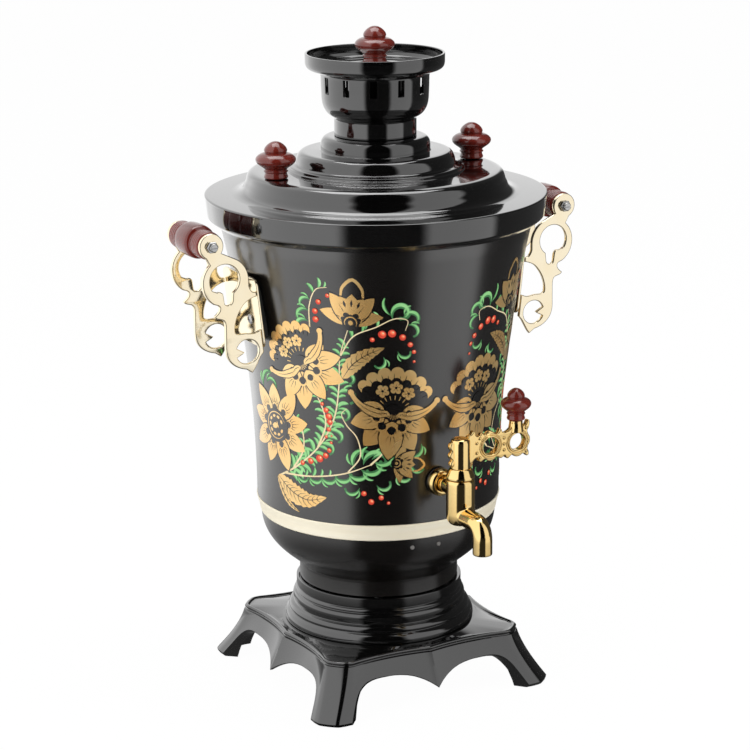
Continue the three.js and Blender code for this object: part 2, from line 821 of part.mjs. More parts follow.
function addHeater() {
  const level = tankBottom + heater.height;
  const bottom = tankBottom - heater.legDepth;
  const [leftLeg, rightLeg] = heaterLegs();
  const opening = 2 * Math.asin(heater.legSpread / heater.loopRadius);
  const loopSteps = 12;
  const loop = Array.from({ length: loopSteps + 1 }, (_, i) => {
    const angle = -Math.PI / 2 - opening + 2 * (opening - Math.PI) * (i / loopSteps);
    return xyz(heater.loopRadius * Math.cos(angle), heater.loopRadius * Math.sin(angle), level);
  });
  const leg = ([x, y]) => [bottom, tankBottom, level - 2 * heater.tube].map((z) => xyz(x, y, z));
  const path = new THREE.CatmullRomCurve3([...leg(leftLeg), ...loop, ...leg(rightLeg).reverse()]);
  addMesh(samovar, "heating_element", tube(path, heater.tube, facets.tubeSteps, facets.petal), "steel");
  ["heater_nut_left", "heater_nut_right"].forEach((name, i) => {
    const [x, y] = heaterLegs()[i];
    const top = tankBottom - fit.gap;
    const nut = hexNut(heater.nutRadius, heater.tube + fit.play, top - heater.nutHeight, top);
    addMesh(samovar, name, nut.translate(x, y, 0), "steel");
  });
}

function addThermostat() {
  const top = tankBottom - fit.gap;
  const puck = bar(thermostat.radius, top - thermostat.height, top, facets.knob);
  addMesh(samovar, "thermostat", puck.translate(0, thermostat.reach, 0), "plastic");
}

// Tie rod from the tank's floor through bowl, collar and stand, with its nut

function addTieRod() {
  const head = tankBottom - fit.gap;
  const nutTop = stand.height - stand.wall - 2 * fit.gap - cover.depth;
  const nutBottom = nutTop - tie.nutHeight;
  const shank = bar(tie.radius, nutBottom, head);
  const foot = bar(tie.headRadius, head - tie.headHeight, head, facets.knob);
  addMesh(samovar, "tie_rod", join([shank, foot]), "steel");
  const nut = hexNut(tie.nutRadius, tie.radius + fit.play, nutBottom, nutTop);
  addMesh(samovar, "tie_nut", nut, "steel");
}

// Power inlet with its rocker switch

function socketRecess() {
  const middle = socketBottom + socket.height / 2;
  const half = at(socket.recessWidth / 2, socket.recessHeight / 2);
  const from = xyz(-socket.recessShift - half.x, socketFace - socket.recessDepth, middle - half.y);
  const to = xyz(-socket.recessShift + half.x, socketFace + fit.overrun, middle + half.y);
  return box(from, to);
}

function socketPins() {
  const middle = socketBottom + socket.height / 2;
  const floor = socketFace - socket.recessDepth;
  const half = xyz(socket.pinWidth / 2, 0, socket.pinHeight / 2);
  return [-1, 0, 1].map((place) => {
    const rise = place ? -socket.pinRise : socket.pinRise;
    const foot = xyz(place * socket.pinSpread - socket.recessShift, floor - socket.pinWidth, middle + rise);
    const tip = foot.clone().setY(floor + socket.pinLength);
    return box(foot.sub(half), tip.add(half));
  });
}

const rockerPivot = () =>
  xyz(rocker.shift, socketFace - rocker.depth / 2, socketBottom + socket.height / 2);

function addInlet() {
  const pivot = rockerPivot();
  const room = xyz(
    rocker.width / 2 + rocker.space,
    rocker.depth / 2 + rocker.space + rocker.bulge,
    rocker.height / 2 + rocker.space,
  );
  const well = box(pivot.clone().sub(room), pivot.clone().add(room).setY(socketFace + fit.overrun));
  const housing = join([cut(socketBlock(0, socketFace), [socketRecess(), well]), ...socketPins()]);
  addMesh(samovar, "power_inlet", housing, "plastic");
}

// Rocker with a raised end for each of its two on positions
function addRocker() {
  const side = new THREE.Shape();
  const half = at(rocker.depth / 2, rocker.height / 2);
  side.moveTo(-half.x, -half.y * 0.6);
  side.lineTo(half.x, -half.y);
  side.quadraticCurveTo(half.x - rocker.bulge, 0, half.x, half.y);
  side.lineTo(-half.x, half.y * 0.6);
  const turned = slab(side, rocker.width).rotateZ(Math.PI / 2);
  addMesh(samovar, "rocker_switch", turned, "plastic").position.copy(rockerPivot());
}

// Wires inside the bowl, from the inlet's back to the two heater legs
function addWires() {
  const start = socketFace - socket.depth - fit.gap;
  const end = tankBottom - heater.legDepth - fit.gap;
  const level = socketBottom + socket.height / 2;
  const side = body.waistRadius * 0.6;
  [-1, 1].forEach((way, i) => {
    const [legX, legY] = heaterLegs()[i];
    const path = new THREE.CatmullRomCurve3([
      xyz(way * socket.recessWidth / 2, start, level),
      xyz(way * socket.recessWidth / 2, start - wire.rise, level),
      xyz(way * side, 0, level - wire.rise),
      xyz(way * side * 0.8, legY / 2, level - wire.rise),
      xyz(legX, legY, end - wire.rise),
      xyz(legX, legY, end),
    ]);
    const name = way < 0 ? "wire_left" : "wire_right";
    addMesh(samovar, name, tube(path, wire.radius, facets.tubeSteps / 2, facets.wire), "rubber");
  });
}

// Lid

// The step in the middle of the lid draws in a little towards its top
const stepTopRadius = () => stepRadius - lid.stepRise / 8;

function lidLine() {
  const bandBottom = brimTop - lid.bandHeight;
  const bandFoot = at(lidRadius - lid.wall, bandBottom);
  const rollEnd = at(casingTopRadius + lid.rollSpace, bandBottom - lid.rollHeight);
  const rollPull = at(mix(rollEnd.x, bandFoot.x, 0.6), rollEnd.y);
  const brimEnd = at(domeRadius + lid.domeFoot, brimTop);
  const domeEdge = at(domeRadius, brimTop + lid.domeRise * 0.68);
  const domeTop = at(domeRadius * 0.93, knobSeat);
  const stepRound = lid.stepRise * 0.35;
  const stepEdge = at(stepTopRadius(), stepTop - stepRound);
  const stepEnd = at(stepEdge.x - stepRound, stepTop);
  const collarRound = lid.collarRise / 2;
  const collarEdge = at(lid.collarRadius, collarSeat - collarRound);
  const collarEnd = at(lid.collarRadius - collarRound, collarSeat);
  const rounded = (start, corner, end) => bend(start, corner, corner, end, facets.curve / 2);
  return [
    rollEnd,
    ...bend(rollEnd, rollPull, bandFoot, bandFoot, facets.curve / 2),
    at(lidRadius, brimTop - lid.wall),
    at(lidRadius - lid.wall, brimTop),
    brimEnd,
    ...rounded(brimEnd, at(domeRadius, brimTop), domeEdge),
    ...rounded(domeEdge, at(domeRadius, knobSeat), domeTop),
    at(beadRadius, knobSeat),
    at(beadRadius - lid.beadHeight / 3, knobSeat + lid.beadHeight / 2),
    at(stepRadius, knobSeat + lid.beadHeight),
    stepEdge,
    ...rounded(stepEdge, at(stepEdge.x, stepTop), stepEnd),
    at(lid.collarRadius, stepTop),
    collarEdge,
    ...rounded(collarEdge, at(lid.collarRadius, collarSeat), collarEnd),
    at(lid.mouthRadius, collarSeat),
  ];
}

// Inside of the lid: the same steps with sharp corners
function lidInside() {
  const bandBottom = brimTop - lid.bandHeight;
  const corners = [
    at(casingTopRadius + lid.rollSpace, bandBottom - lid.rollHeight),
    at(lidRadius - lid.wall, bandBottom),
    at(lidRadius, brimTop),
    at(domeRadius, brimTop),
    at(domeRadius, knobSeat),
    at(stepRadius, knobSeat),
    at(stepTopRadius(), stepTop),
    at(lid.collarRadius, stepTop),
    at(lid.collarRadius, collarSeat),
    at(lid.mouthRadius, collarSeat),
  ];
  return inset(corners, lid.wall);
}

function addLid() {
  const studHoles = [-1, 1].map((way) =>
    bar(knob.studRadius + fit.play, brimTop, knobSeat + fit.overrun).translate(way * lidKnobReach, 0, 0),
  );
  addMesh(samovar, "lid", cut(revolveBetween(lidLine(), lidInside()), studHoles), "lacquer");
}

// Turned knob: neck, wide belly and bud, with a bore for its stud
function knobGeometry(radius, height, studRadius, studLength) {
  const outlineShares = [
    [0.58, 0],
    [0.61, 0.05],
    [0.56, 0.12],
    [0.56, 0.25],
    [0.8, 0.35],
    [1, 0.49],
    [0.95, 0.6],
    [0.56, 0.7],
    [0.54, 0.79],
    [0.42, 0.91],
    [0.2, 0.98],
    [0, 1],
  ];
  const outline = outlineShares.map(([out, up]) => at(radius * out, height * up));
  const bore = studRadius + fit.play;
  const depth = studLength + fit.play;
  return revolve([at(0, depth), at(bore, depth), at(bore, 0), ...outline], facets.knob);
}

// Screw that comes up from below into a knob, its head under the sheet
function knobScrew(sheet) {
  const head = bar(knob.studHead, -knob.studHeadHeight, 0, facets.bolt);
  const tip = sheet + 2 * fit.gap + knob.studLength;
  const shank = bar(knob.studRadius, -knob.studHeadHeight / 2, tip, facets.bolt);
  return join([head, shank]);
}

function addLidKnobs() {
  [-1, 1].forEach((way) => {
    const side = way < 0 ? "left" : "right";
    const reach = way * lidKnobReach;
    const turned = knobGeometry(knob.radius, knob.height, knob.studRadius, knob.studLength);
    const knobMesh = addMesh(samovar, "lid_knob_" + side, turned, "knobRed");
    knobMesh.position.set(reach, 0, knobSeat + fit.gap);
    const screwMesh = addMesh(samovar, "lid_knob_screw_" + side, knobScrew(lid.wall), "steel");
    screwMesh.position.set(reach, 0, knobSeat - lid.wall - fit.gap);
  });
}

// Crown: the slotted teapot stand on the lid

const crownShoulder = () => crownTop - crown.rimHeight - 2 * crown.wall;

function crownLine() {
  const rimBottom = crownTop - crown.rimHeight;
  const neck = at(crownNeckRadius, crownSeat + crown.neckHeight);
  const bowl = at(crown.bowlRadius, neck.y + (crown.bowlRadius - crownNeckRadius) * 1.2);
  const pull = at(crown.bowlRadius, neck.y);
  return [
    at(crownNeckRadius, crownSeat),
    neck,
    ...bend(neck, pull, pull, bowl, facets.curve - 2),
    at(crown.bowlRadius, crownShoulder()),
    at(crown.rimRadius - crown.wall, rimBottom - crown.wall),
    at(crown.rimRadius, rimBottom),
    at(crown.rimRadius, crownTop),
  ];
}

function addCrown() {
  const line = crownLine();
  const mouth = chimney.radius + fit.play;
  const floorTop = crownSeat + crown.floorWall;
  const spigot = lid.mouthRadius - fit.play;
  const profile = [
    at(mouth, crownSeat - crown.spigotDepth),
    at(spigot, crownSeat - crown.spigotDepth),
    at(spigot, crownSeat),
    ...line,
    ...inset(line, crown.wall).slice(1).reverse(),
    at(crownNeckRadius - crown.wall, floorTop),
    at(mouth, floorTop),
  ];
  const slotTop = crownShoulder() - crown.slotSpace;
  const slots = Array.from({ length: counts.crownSlots }, (_, i) => {
    const from = xyz(crownNeckRadius, -crown.slotWidth / 2, slotTop - crown.slotHeight);
    const to = xyz(crown.rimRadius, crown.slotWidth / 2, slotTop);
    return box(from, to).rotateZ((2 * Math.PI * i) / counts.crownSlots);
  });
  addMesh(samovar, "crown", cut(revolve(closed(profile), facets.crown), slots), "lacquer");
}

// Chimney tube inside the crown, which carries the cap
function addChimney() {
  const inner = chimney.radius - chimney.wall;
  const flange = chimneyFlangeRadius;
  const flangeTop = chimneyBottom + chimney.flangeWall;
  const profile = [
    at(inner, crownSeat - crown.spigotDepth),
    at(chimney.radius, crownSeat - crown.spigotDepth),
    at(chimney.radius, chimneyBottom),
    at(flange, chimneyBottom),
    at(flange, flangeTop),
    at(chimney.radius, flangeTop),
    at(chimney.radius, chimneyBottom + chimney.height),
    at(inner, chimneyBottom + chimney.height),
  ];
  addMesh(samovar, "chimney_tube", revolve(closed(profile), facets.hidden), "lacquer");
}

// Cap on the chimney tube, with its knob

function addCap() {
  const skirt = chimney.radius - chimney.wall - cap.skirtSpace;
  const top = capTop;
  const hole = knob.studRadius + fit.play;
  const flat = knob.radius * 0.8;
  const profile = [
    at(hole, top - cap.wall),
    at(skirt - cap.wall, capSeat),
    at(skirt - cap.wall, capSeat - cap.skirtDepth),
    at(skirt, capSeat - cap.skirtDepth),
    at(skirt, capSeat),
    at(cap.radius, capSeat),
    at(cap.radius, capSeat + cap.wall / 2),
    at(flat, top),
    at(hole, top),
  ];
  addMesh(samovar, "cap", revolve(closed(profile), facets.crown), "steel");
  const turned = knobGeometry(knob.radius, knob.height, knob.studRadius, knob.studLength);
  addMesh(samovar, "cap_knob", turned, "knobRed").position.set(0, 0, top + fit.gap);
  const screw = addMesh(samovar, "cap_knob_screw", knobScrew(cap.wall), "steel");
  screw.position.set(0, 0, top - cap.wall - fit.gap);
}

// Tap

// Everything of the tap is modelled with the barrel on the Z axis and the pipe's axis at height 0
const tapGroup = new THREE.Group();
tapGroup.position.set(0, -barrelReach, tapHeight);
samovar.add(tapGroup);

// Where the nut inside the tank starts, clear of the tank's round wall
function tapNutStart() {
  const inside = casingRadius(tapHeight) - body.shellWall - tank.space - tank.wall;
  return barrelReach - inside + fallBack(tap.nutRadius) + fit.gap;
}

// From the barrel forward, then down
function spoutPath(fall) {
  const bendStart = xyz(0, tap.spoutBend - tap.spoutReach, -tap.spoutDrop);
  const corner = xyz(0, -tap.spoutReach, -tap.spoutDrop);
  const bendEnd = corner.clone().setZ(-tap.spoutDrop - tap.spoutBend);
  const path = new THREE.CurvePath();
  path.add(new THREE.LineCurve3(xyz(0, 0, -tap.spoutDrop), bendStart));
  path.add(new THREE.QuadraticBezierCurve3(bendStart, corner, bendEnd));
  path.add(new THREE.LineCurve3(bendEnd, corner.clone().setZ(-tap.spoutDrop - fall)));
  return path;
}

function addTapBody() {
  const bottom = -tap.barrelBottom;
  const corner = at(tap.barrelRadius, bottom);
  const start = at(tap.barrelRadius - tap.barrelRound, bottom);
  const side = at(tap.barrelRadius, bottom + tap.barrelRound);
  const rounded = bend(start, corner, corner, side, facets.curve / 2);
  const top = [at(tap.barrelRadius, tap.barrelTop), at(0, tap.barrelTop)];
  const outside = [at(0, bottom), start, ...rounded, ...top];
  const barrel = revolve(outside, facets.knob);
  const pipeEnd = tapNutStart() + tap.nutDepth + tap.threadOverhang;
  const pipe = alongY(bar(tap.pipeRadius, 0, pipeEnd, facets.knob));
  const spout = tube(spoutPath(tap.spoutFall), tap.spoutRadius, 2 * facets.curve, facets.knob);
  const water = tube(spoutPath(tap.spoutFall + fit.overrun), tap.spoutBore, 2 * facets.curve, facets.bolt);
  const bore = bar(boreRadius, boreBottom, tap.barrelTop + fit.overrun, facets.knob);
  const inlet = alongY(bar(tap.pipeBore, 0, pipeEnd + fit.overrun, facets.bolt));
  addMesh(tapGroup, "tap_body", cut(join([barrel, pipe, spout]), [water, bore, inlet]), "brass");
}

function addTapFlange() {
  const wall = barrelReach - casingRadius(tapHeight + tap.flangeRadius);
  const hole = tap.pipeRadius + fit.play;
  const back = wall - tap.gasketDepth - 2 * fit.gap;
  const front = back - tap.flangeDepth;
  const edge = at(tap.flangeRadius, back - tap.flangeDepth / 4);
  const corner = at(tap.flangeRadius, front);
  const nose = at(tap.pipeRadius + tap.flangeDepth / 4, front);
  const dome = bend(nose, corner, corner, edge, facets.curve / 2);
  const profile = [at(hole, front), nose, ...dome, at(tap.flangeRadius, back), at(hole, back)];
  addMesh(tapGroup, "tap_flange", alongY(revolve(closed(profile), facets.knob)), "brass");
  const gasketBack = wall - fit.gap;
  const gasketFront = gasketBack - tap.gasketDepth;
  const gasket = ring(tap.flangeRadius - fit.play, hole, gasketFront, gasketBack, facets.knob);
  addMesh(tapGroup, "tap_gasket", alongY(gasket), "rubber");
  const nutStart = tapNutStart();
  const nut = hexNut(tap.nutRadius, hole, nutStart, nutStart + tap.nutDepth, facets.knob);
  addMesh(tapGroup, "tap_nut", alongY(nut), "brass");
}

// Screwed cap with a cone shoulder that keeps the key in the barrel
function addBonnet() {
  const bottom = tap.barrelTop + fit.gap;
  const top = bonnetTop;
  const hole = key.plugRadius + fit.play;
  const profile = [
    at(hole, bottom),
    at(tap.barrelRadius, bottom),
    at(tap.barrelRadius, bottom + bonnet.lip),
    at(bonnet.topRadius, top),
    at(hole, top),
  ];
  addMesh(tapGroup, "tap_bonnet", revolve(closed(profile), facets.knob), "brass");
}

// A flat disc of the lever, centred in the lever's plane, seen from the front
function leverDisc(radius, depth, place, steps) {
  return alongY(bar(radius, -depth / 2, depth / 2, steps)).translate(place.x, 0, place.y);
}

// One openwork ring of the lever, with a raised rim and lobes round its edge
function leverRing(reach, lobeAngles) {
  const centre = at(reach, ringHeight);
  const disc = leverDisc(key.ringRadius, key.plateDepth, centre, facets.knob);
  const rim = leverDisc(key.holeRadius + key.rimWall, key.plateDepth + 2 * key.rimDepth, centre, facets.knob);
  const lobes = lobeAngles.map((angle) => {
    const out = at(key.ringRadius, 0).rotateAround(at(0, 0), THREE.MathUtils.degToRad(angle));
    return leverDisc(key.lobeRadius, key.plateDepth, out.add(centre), facets.bolt);
  });
  return [disc, rim, ...lobes];
}

// Web of the lever between its plug and its first ring
function leverWeb() {
  const half = key.neckHeight / 2;
  const edge = key.plugRadius + key.lobeRadius;
  const waist = key.firstRing - key.ringRadius;
  const web = new THREE.Shape();
  web.moveTo(0, ringHeight - half);
  web.lineTo(edge, ringHeight - half - key.lobeRadius);
  web.quadraticCurveTo(waist, ringHeight - half, key.firstRing, ringHeight - key.ringRadius);
  web.lineTo(key.firstRing, ringHeight + key.ringRadius);
  web.quadraticCurveTo(waist, ringHeight + half, edge, ringHeight + half + key.lobeRadius);
  web.lineTo(0, ringHeight + half);
  return slab(web, key.plateDepth);
}

// Lobed edge on the far side of the plug
function leverTail() {
  const half = key.neckHeight / 2;
  const back = box(
    xyz(-key.tailReach, -key.plateDepth / 2, ringHeight - half),
    xyz(0, key.plateDepth / 2, ringHeight + half / 2),
  );
  const lobes = [-1, 0, 1].map((step) => {
    const spot = at(-key.tailReach, ringHeight - key.lobeRadius + step * key.ringRadius * 0.8);
    return leverDisc(key.lobeRadius, key.plateDepth, spot, facets.petal);
  });
  return [back, ...lobes];
}

// Key of the tap: the bored stem, its plug and the openwork lever
function addKey() {
  const stemBottom = boreBottom + key.stemSpace;
  const plugBottom = tap.barrelTop + fit.gap;
  const stem = bar(key.stemRadius, stemBottom, tap.barrelTop + fit.overrun, facets.knob);
  const plugProfile = [
    at(0, plugBottom),
    at(key.plugRadius, plugBottom),
    at(key.plugRadius, plugTop - key.capChamfer),
    at(key.plugRadius - key.capChamfer, plugTop),
    at(0, plugTop),
  ];
  const plug = revolve(plugProfile, facets.knob);
  const bossFoot = ringHeight + key.holeRadius + key.rimWall / 2;
  const bossTop = ringHeight + key.ringRadius + key.bossHeight;
  const studTop = bossTop + fit.gap + keyKnob.studLength;
  const boss = bar(key.bossRadius, bossFoot, bossTop).translate(secondRing, 0, 0);
  const stud = bar(keyKnob.studRadius, bossFoot, studTop, facets.petal).translate(secondRing, 0, 0);
  const facing = angles.facingLobe;
  const rings = [
    ...leverRing(key.firstRing, [-facing, facing, 50, 90, 130, 230, 270, 310]),
    ...leverRing(secondRing, [-90, -50, -15, 15, 50, 130, 180 - facing, 180 + facing, 230]),
  ];
  const holes = [key.firstRing, secondRing].map((reach) =>
    leverDisc(key.holeRadius, key.plateDepth + 2 * fit.overrun, at(reach, ringHeight), facets.knob),
  );
  const down = bar(key.portRadius, stemBottom - fit.overrun, key.portRadius / 2, facets.bolt);
  const side = alongX(bar(key.portRadius, -key.stemRadius - fit.overrun, 0, facets.bolt));
  const whole = join([stem, plug, leverWeb(), ...leverTail(), ...rings, boss, stud]);
  addMesh(tapGroup, "tap_key", cut(whole, [...holes, down, side]), "brass");
  const turned = knobGeometry(keyKnob.radius, keyKnob.height, keyKnob.studRadius, keyKnob.studLength);
  const knobMesh = addMesh(tapGroup, "tap_key_knob", turned, "knobRed");
  knobMesh.position.set(secondRing, 0, bossTop + fit.gap);
}

// Handles, modelled for the +X side; the other side is the mirror image

// Width of a scroll plate: the bracket's face lies at this share of it, in from the grip
const faceShare = 0.92;

function scrollWidth() {
  const face = casingRadius(bracketMiddle) + handle.bracketStandoff + handle.bracketWall + fit.gap;
  return (gripReach - face) / faceShare;
}

// A point of the scroll plate, as shares of its width in from the grip and of its drop below it
const onScroll = ([inward, down]) =>
  at(gripReach - scrollWidth() * inward, gripHeight - handle.scrollDrop * down);

// Part of an oval in the same shares, angles in degrees
function oval([inward, down], [widthShare, heightShare], from, to, steps = facets.curve) {
  return arc(at(0, 0), 1, from, to, steps).map((spot) =>
    onScroll([inward - widthShare * spot.x, down - heightShare * spot.y]),
  );
}

// Outline of a scroll plate below its eye: a loop, a stem with a spur, a curl and two lugs
function scrollOutline() {
  const neckShares = [
    [0.194, 0.055],
    [-0.1, 0.087],
  ];
  const loopShares = [0.266, 0.273];
  const loopSizeShares = [0.458, 0.185];
  const spurShares = [
    [0.097, 0.44],
    [0.134, 0.452],
    [0.134, 0.479],
    [0.039, 0.523],
    [0.132, 0.546],
    [0.232, 0.578],
    [0.237, 0.769],
  ];
  const curlShares = [
    [0.237, 0.897],
    [0.5, 0.936],
    [0.645, 0.947],
  ];
  const lugShares = [
    [0.716, 0.997],
    [0.8, 0.96],
    [0.87, 0.91],
    [0.95, 0.85],
    [1.06, 0.812],
    [1.06, 0.66],
    [0.94, 0.66],
    [0.842, 0.68],
    [0.618, 0.67],
    [0.432, 0.664],
    [0.434, 0.598],
    [0.471, 0.543],
    [0.55, 0.486],
    [0.663, 0.435],
    [0.832, 0.407],
    [1.06, 0.407],
    [1.06, 0.372],
    [0.795, 0.37],
    [0.75, 0.346],
    [0.724, 0.32],
  ];
  const spur = spurShares.map(onScroll);
  const [firstPull, secondPull, curlEnd] = curlShares.map(onScroll);
  return [
    ...neckShares.map(onScroll),
    ...oval(loopShares, loopSizeShares, 50, -58),
    ...spur,
    ...bend(spur.at(-1), firstPull, secondPull, curlEnd, facets.curve - 1),
    ...lugShares.map(onScroll),
    ...oval(loopShares, loopSizeShares, 186, 112),
  ];
}

// The two openings of a scroll plate below its eye: a loop with its tail, a curl with its tongue
function scrollHoles() {
  const tailShares = [
    [0.395, 0.36],
    [0.392, 0.425],
    [0.35, 0.447],
    [0.28, 0.447],
    [0.24, 0.436],
    [0.211, 0.354],
    [0.097, 0.343],
  ];
  const loop = oval([0.242, 0.2585], [0.292, 0.118], -36, 236, facets.bolt);
  const tongueShares = [
    [0.579, 0.827],
    [0.597, 0.803],
  ];
  const curl = oval([0.671, 0.812], [0.226, 0.0915], 20, 336, facets.bolt);
  return [
    [...loop, ...tailShares.map(onScroll)],
    [...curl, ...tongueShares.map(onScroll)],
  ];
}

// Scroll plate with the round eye that takes the grip's bolt, ended on the bracket's face
function scrollPlate() {
  const shape = new THREE.Shape(scrollOutline());
  shape.holes = scrollHoles().map((points) => new THREE.Path(points));
  const onGrip = (geometry) => alongY(geometry).translate(gripReach, 0, gripHeight);
  const half = handle.plate / 2;
  const eye = onGrip(bar(handle.eyeRadius, -half, half, facets.crown));
  const hole = onGrip(bar(handle.boltRadius + fit.play, -handle.plate, handle.plate));
  const depth = handle.scrollDrop;
  const front = handle.bracketWall + fit.gap;
  const bracketSide = onBracket(box(xyz(-depth, -depth, -depth), xyz(front, depth, depth)));
  return cut(join([slab(shape, handle.plate), eye]), [bracketSide, hole]);
}

// A plate with round corners across X, from one depth to another
function roundedPlate(width, height, corner, back, front) {
  const turned = slab(roundedShape(width, height, corner), front - back).rotateZ(Math.PI / 2);
  return turned.translate(mix(back, front, 0.5), 0, 0);
}

// Flat bracket that carries the two plates, with the pad between it and the casing
function addBracket(parent, side) {
  const width = handle.spacing + 2 * (handle.plate - fit.gap);
  const bracket = roundedPlate(width, handle.bracketHeight, handle.bracketCorner, 0, handle.bracketWall);
  addMesh(parent, side + "_handle_bracket", cut(onBracket(bracket), screwHoles()), "brass");
  const padWidth = handle.spacing - 2 * handle.padInset;
  const padHeight = handle.bracketHeight - 2 * handle.padInset;
  const padDepth = 4 * handle.bracketStandoff;
  const pad = roundedPlate(padWidth, padHeight, handle.bracketCorner - fit.gap, -padDepth, -fit.gap);
  const casing = casingLine().map((point) => at(point.x + fit.gap, point.y));
  const inside = revolve([at(0, shellBottom), ...casing, at(0, shellTop)]);
  addMesh(parent, side + "_handle_pad", cut(onBracket(pad), [inside, ...screwHoles()]), "rubber");
}

function addBracketScrews(parent, side) {
  const seat = handle.bracketWall + fit.gap;
  const profile = [
    at(0, -screwReach()),
    at(handle.screwRadius, -screwReach()),
    at(handle.screwRadius, seat),
    at(handle.screwHeadRadius, seat),
    at(handle.screwHeadRadius, seat + handle.screwHeadHeight / 2),
    at(handle.screwHeadRadius / 2, seat + handle.screwHeadHeight),
    at(0, seat + handle.screwHeadHeight),
  ];
  const screws = atScrews(() => revolve(profile, facets.bolt));
  const names = [side + "_handle_screw_front", side + "_handle_screw_rear"];
  names.forEach((name, i) => addMesh(parent, name, screws[i], "steel"));
}

// Turned grip: a belly between two straight ends, with a notch at each side of the belly
function gripGeometry() {
  const half = handle.spacing / 2 - fit.gap;
  const notch = handle.gripNotch;
  const end = handle.gripEndRadius;
  const bore = handle.boltRadius + fit.play;
  const dip = handle.gripRadius - end;
  const shoulder = half - notch - dip;
  const outer = [
    at(end - dip / 4, half),
    at(end, half - dip / 4),
    at(end, half - notch + dip / 2),
    at(end - dip / 4, half - notch),
    at(handle.gripRadius - dip / 2, shoulder),
    at(handle.gripRadius - dip / 8, shoulder / 2),
    at(handle.gripRadius, 0),
  ];
  const lower = outer.slice(0, -1).map((point) => at(point.x, -point.y));
  const profile = [at(bore, -half), ...lower, ...outer.reverse(), at(bore, half)];
  return alongY(revolve(closed(profile), facets.knob));
}

// Bolt through the eyes and the grip, with a hexagon and a slotted tip at the front and a nut behind
function addGripBolt(parent, side) {
  const seat = handle.spacing / 2 + handle.plate + fit.gap;
  const hexFace = -seat - handle.boltHeadHeight;
  const tip = hexFace - handle.boltTipHeight;
  const hex = bar(handle.boltHeadRadius, hexFace, -seat, facets.hex);
  const shank = bar(handle.boltRadius, hexFace, seat + handle.nutHeight);
  const round = bar(handle.boltTipRadius, tip, -seat, facets.bolt);
  const slot = box(
    xyz(-handle.boltHeadRadius, -handle.slotWidth / 2, tip - fit.overrun),
    xyz(handle.boltHeadRadius, handle.slotWidth / 2, tip + handle.slotDepth),
  );
  const bolt = alongY(cut(join([hex, shank, round]), [slot]));
  const nut = hexNut(handle.boltHeadRadius, handle.boltRadius + fit.play, seat, seat + handle.nutHeight);
  [
    [side + "_grip_bolt", bolt],
    [side + "_grip_nut", alongY(nut)],
  ].forEach(([name, geometry]) => {
    addMesh(parent, name, geometry, "steel").position.set(gripReach, 0, gripHeight);
  });
}

function addHandle(side) {
  const group = new THREE.Group();
  group.scale.x = side === "left" ? -1 : 1;
  samovar.add(group);
  const middle = (handle.spacing + handle.plate) / 2;
  addMesh(group, side + "_handle_plate_front", scrollPlate(), "brass").position.y = -middle;
  addMesh(group, side + "_handle_plate_rear", scrollPlate(), "brass").position.y = middle;
  const grip = addMesh(group, side + "_grip", gripGeometry(), "knobRed");
  grip.position.set(gripReach, 0, gripHeight);
  addGripBolt(group, side);
  addBracket(group, side);
  addBracketScrews(group, side);
}

addStand();
addBottomCover();
addCollar();
addBowl();
addLamps();
addBand();
addShell();
addTank();
addRim();
addHeater();
addThermostat();
addTieRod();
addInlet();
addRocker();
addWires();
addLid();
addLidKnobs();
addCrown();
addChimney();
addCap();
addTapBody();
addTapFlange();
addBonnet();
addKey();
["left", "right"].forEach(addHandle);

export default samovar;
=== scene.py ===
import math

import bmesh
import bpy
from mathutils import Matrix, Vector
from mathutils.geometry import tessellate_polygon


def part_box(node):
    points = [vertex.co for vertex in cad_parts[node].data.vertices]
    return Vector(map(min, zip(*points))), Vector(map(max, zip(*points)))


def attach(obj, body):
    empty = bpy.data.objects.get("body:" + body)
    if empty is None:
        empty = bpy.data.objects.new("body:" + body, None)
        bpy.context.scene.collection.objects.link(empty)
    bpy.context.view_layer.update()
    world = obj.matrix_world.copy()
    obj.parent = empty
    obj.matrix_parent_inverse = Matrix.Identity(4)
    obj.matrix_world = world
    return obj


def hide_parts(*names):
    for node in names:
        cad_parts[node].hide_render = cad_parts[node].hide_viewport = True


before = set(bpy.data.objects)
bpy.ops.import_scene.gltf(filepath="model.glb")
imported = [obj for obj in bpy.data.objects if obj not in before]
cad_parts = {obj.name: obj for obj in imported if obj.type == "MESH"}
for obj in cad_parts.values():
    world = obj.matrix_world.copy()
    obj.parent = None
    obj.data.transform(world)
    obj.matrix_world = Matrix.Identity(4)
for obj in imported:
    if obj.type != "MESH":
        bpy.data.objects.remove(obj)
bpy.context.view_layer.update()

MM = 0.001
ROUND = 144  # flats round a large piece of revolution
SIDES = (("left", -1), ("right", 1))  # each side with its sign along X


# Mesh helpers. All sizes below are in millimetres in the frame of the part.


def linked(name, data):
    """An object in the scene that holds a mesh, a curve, a light or a camera."""
    made = bpy.data.objects.new(name, data)
    bpy.context.scene.collection.objects.link(made)
    return made


def evaluated(holder):
    """The mesh that a helper object shows, with the helper gone."""
    bpy.context.view_layer.update()
    shown = holder.evaluated_get(bpy.context.evaluated_depsgraph_get())
    mesh = bpy.data.meshes.new_from_object(shown)
    bpy.data.objects.remove(holder)
    return mesh


def shade(mesh, sharp):
    mesh.shade_smooth()
    if sharp:
        mesh.set_sharp_from_angle(angle=math.radians(sharp))
    return mesh


def clean(mesh):
    """Merges doubles and turns all faces outwards."""
    made = bmesh.new()
    made.from_mesh(mesh)
    bmesh.ops.remove_doubles(made, verts=made.verts, dist=1e-7)
    bmesh.ops.dissolve_degenerate(made, edges=made.edges, dist=1e-8)
    bmesh.ops.recalc_face_normals(made, faces=made.faces)
    made.to_mesh(mesh)
    made.free()
    return mesh


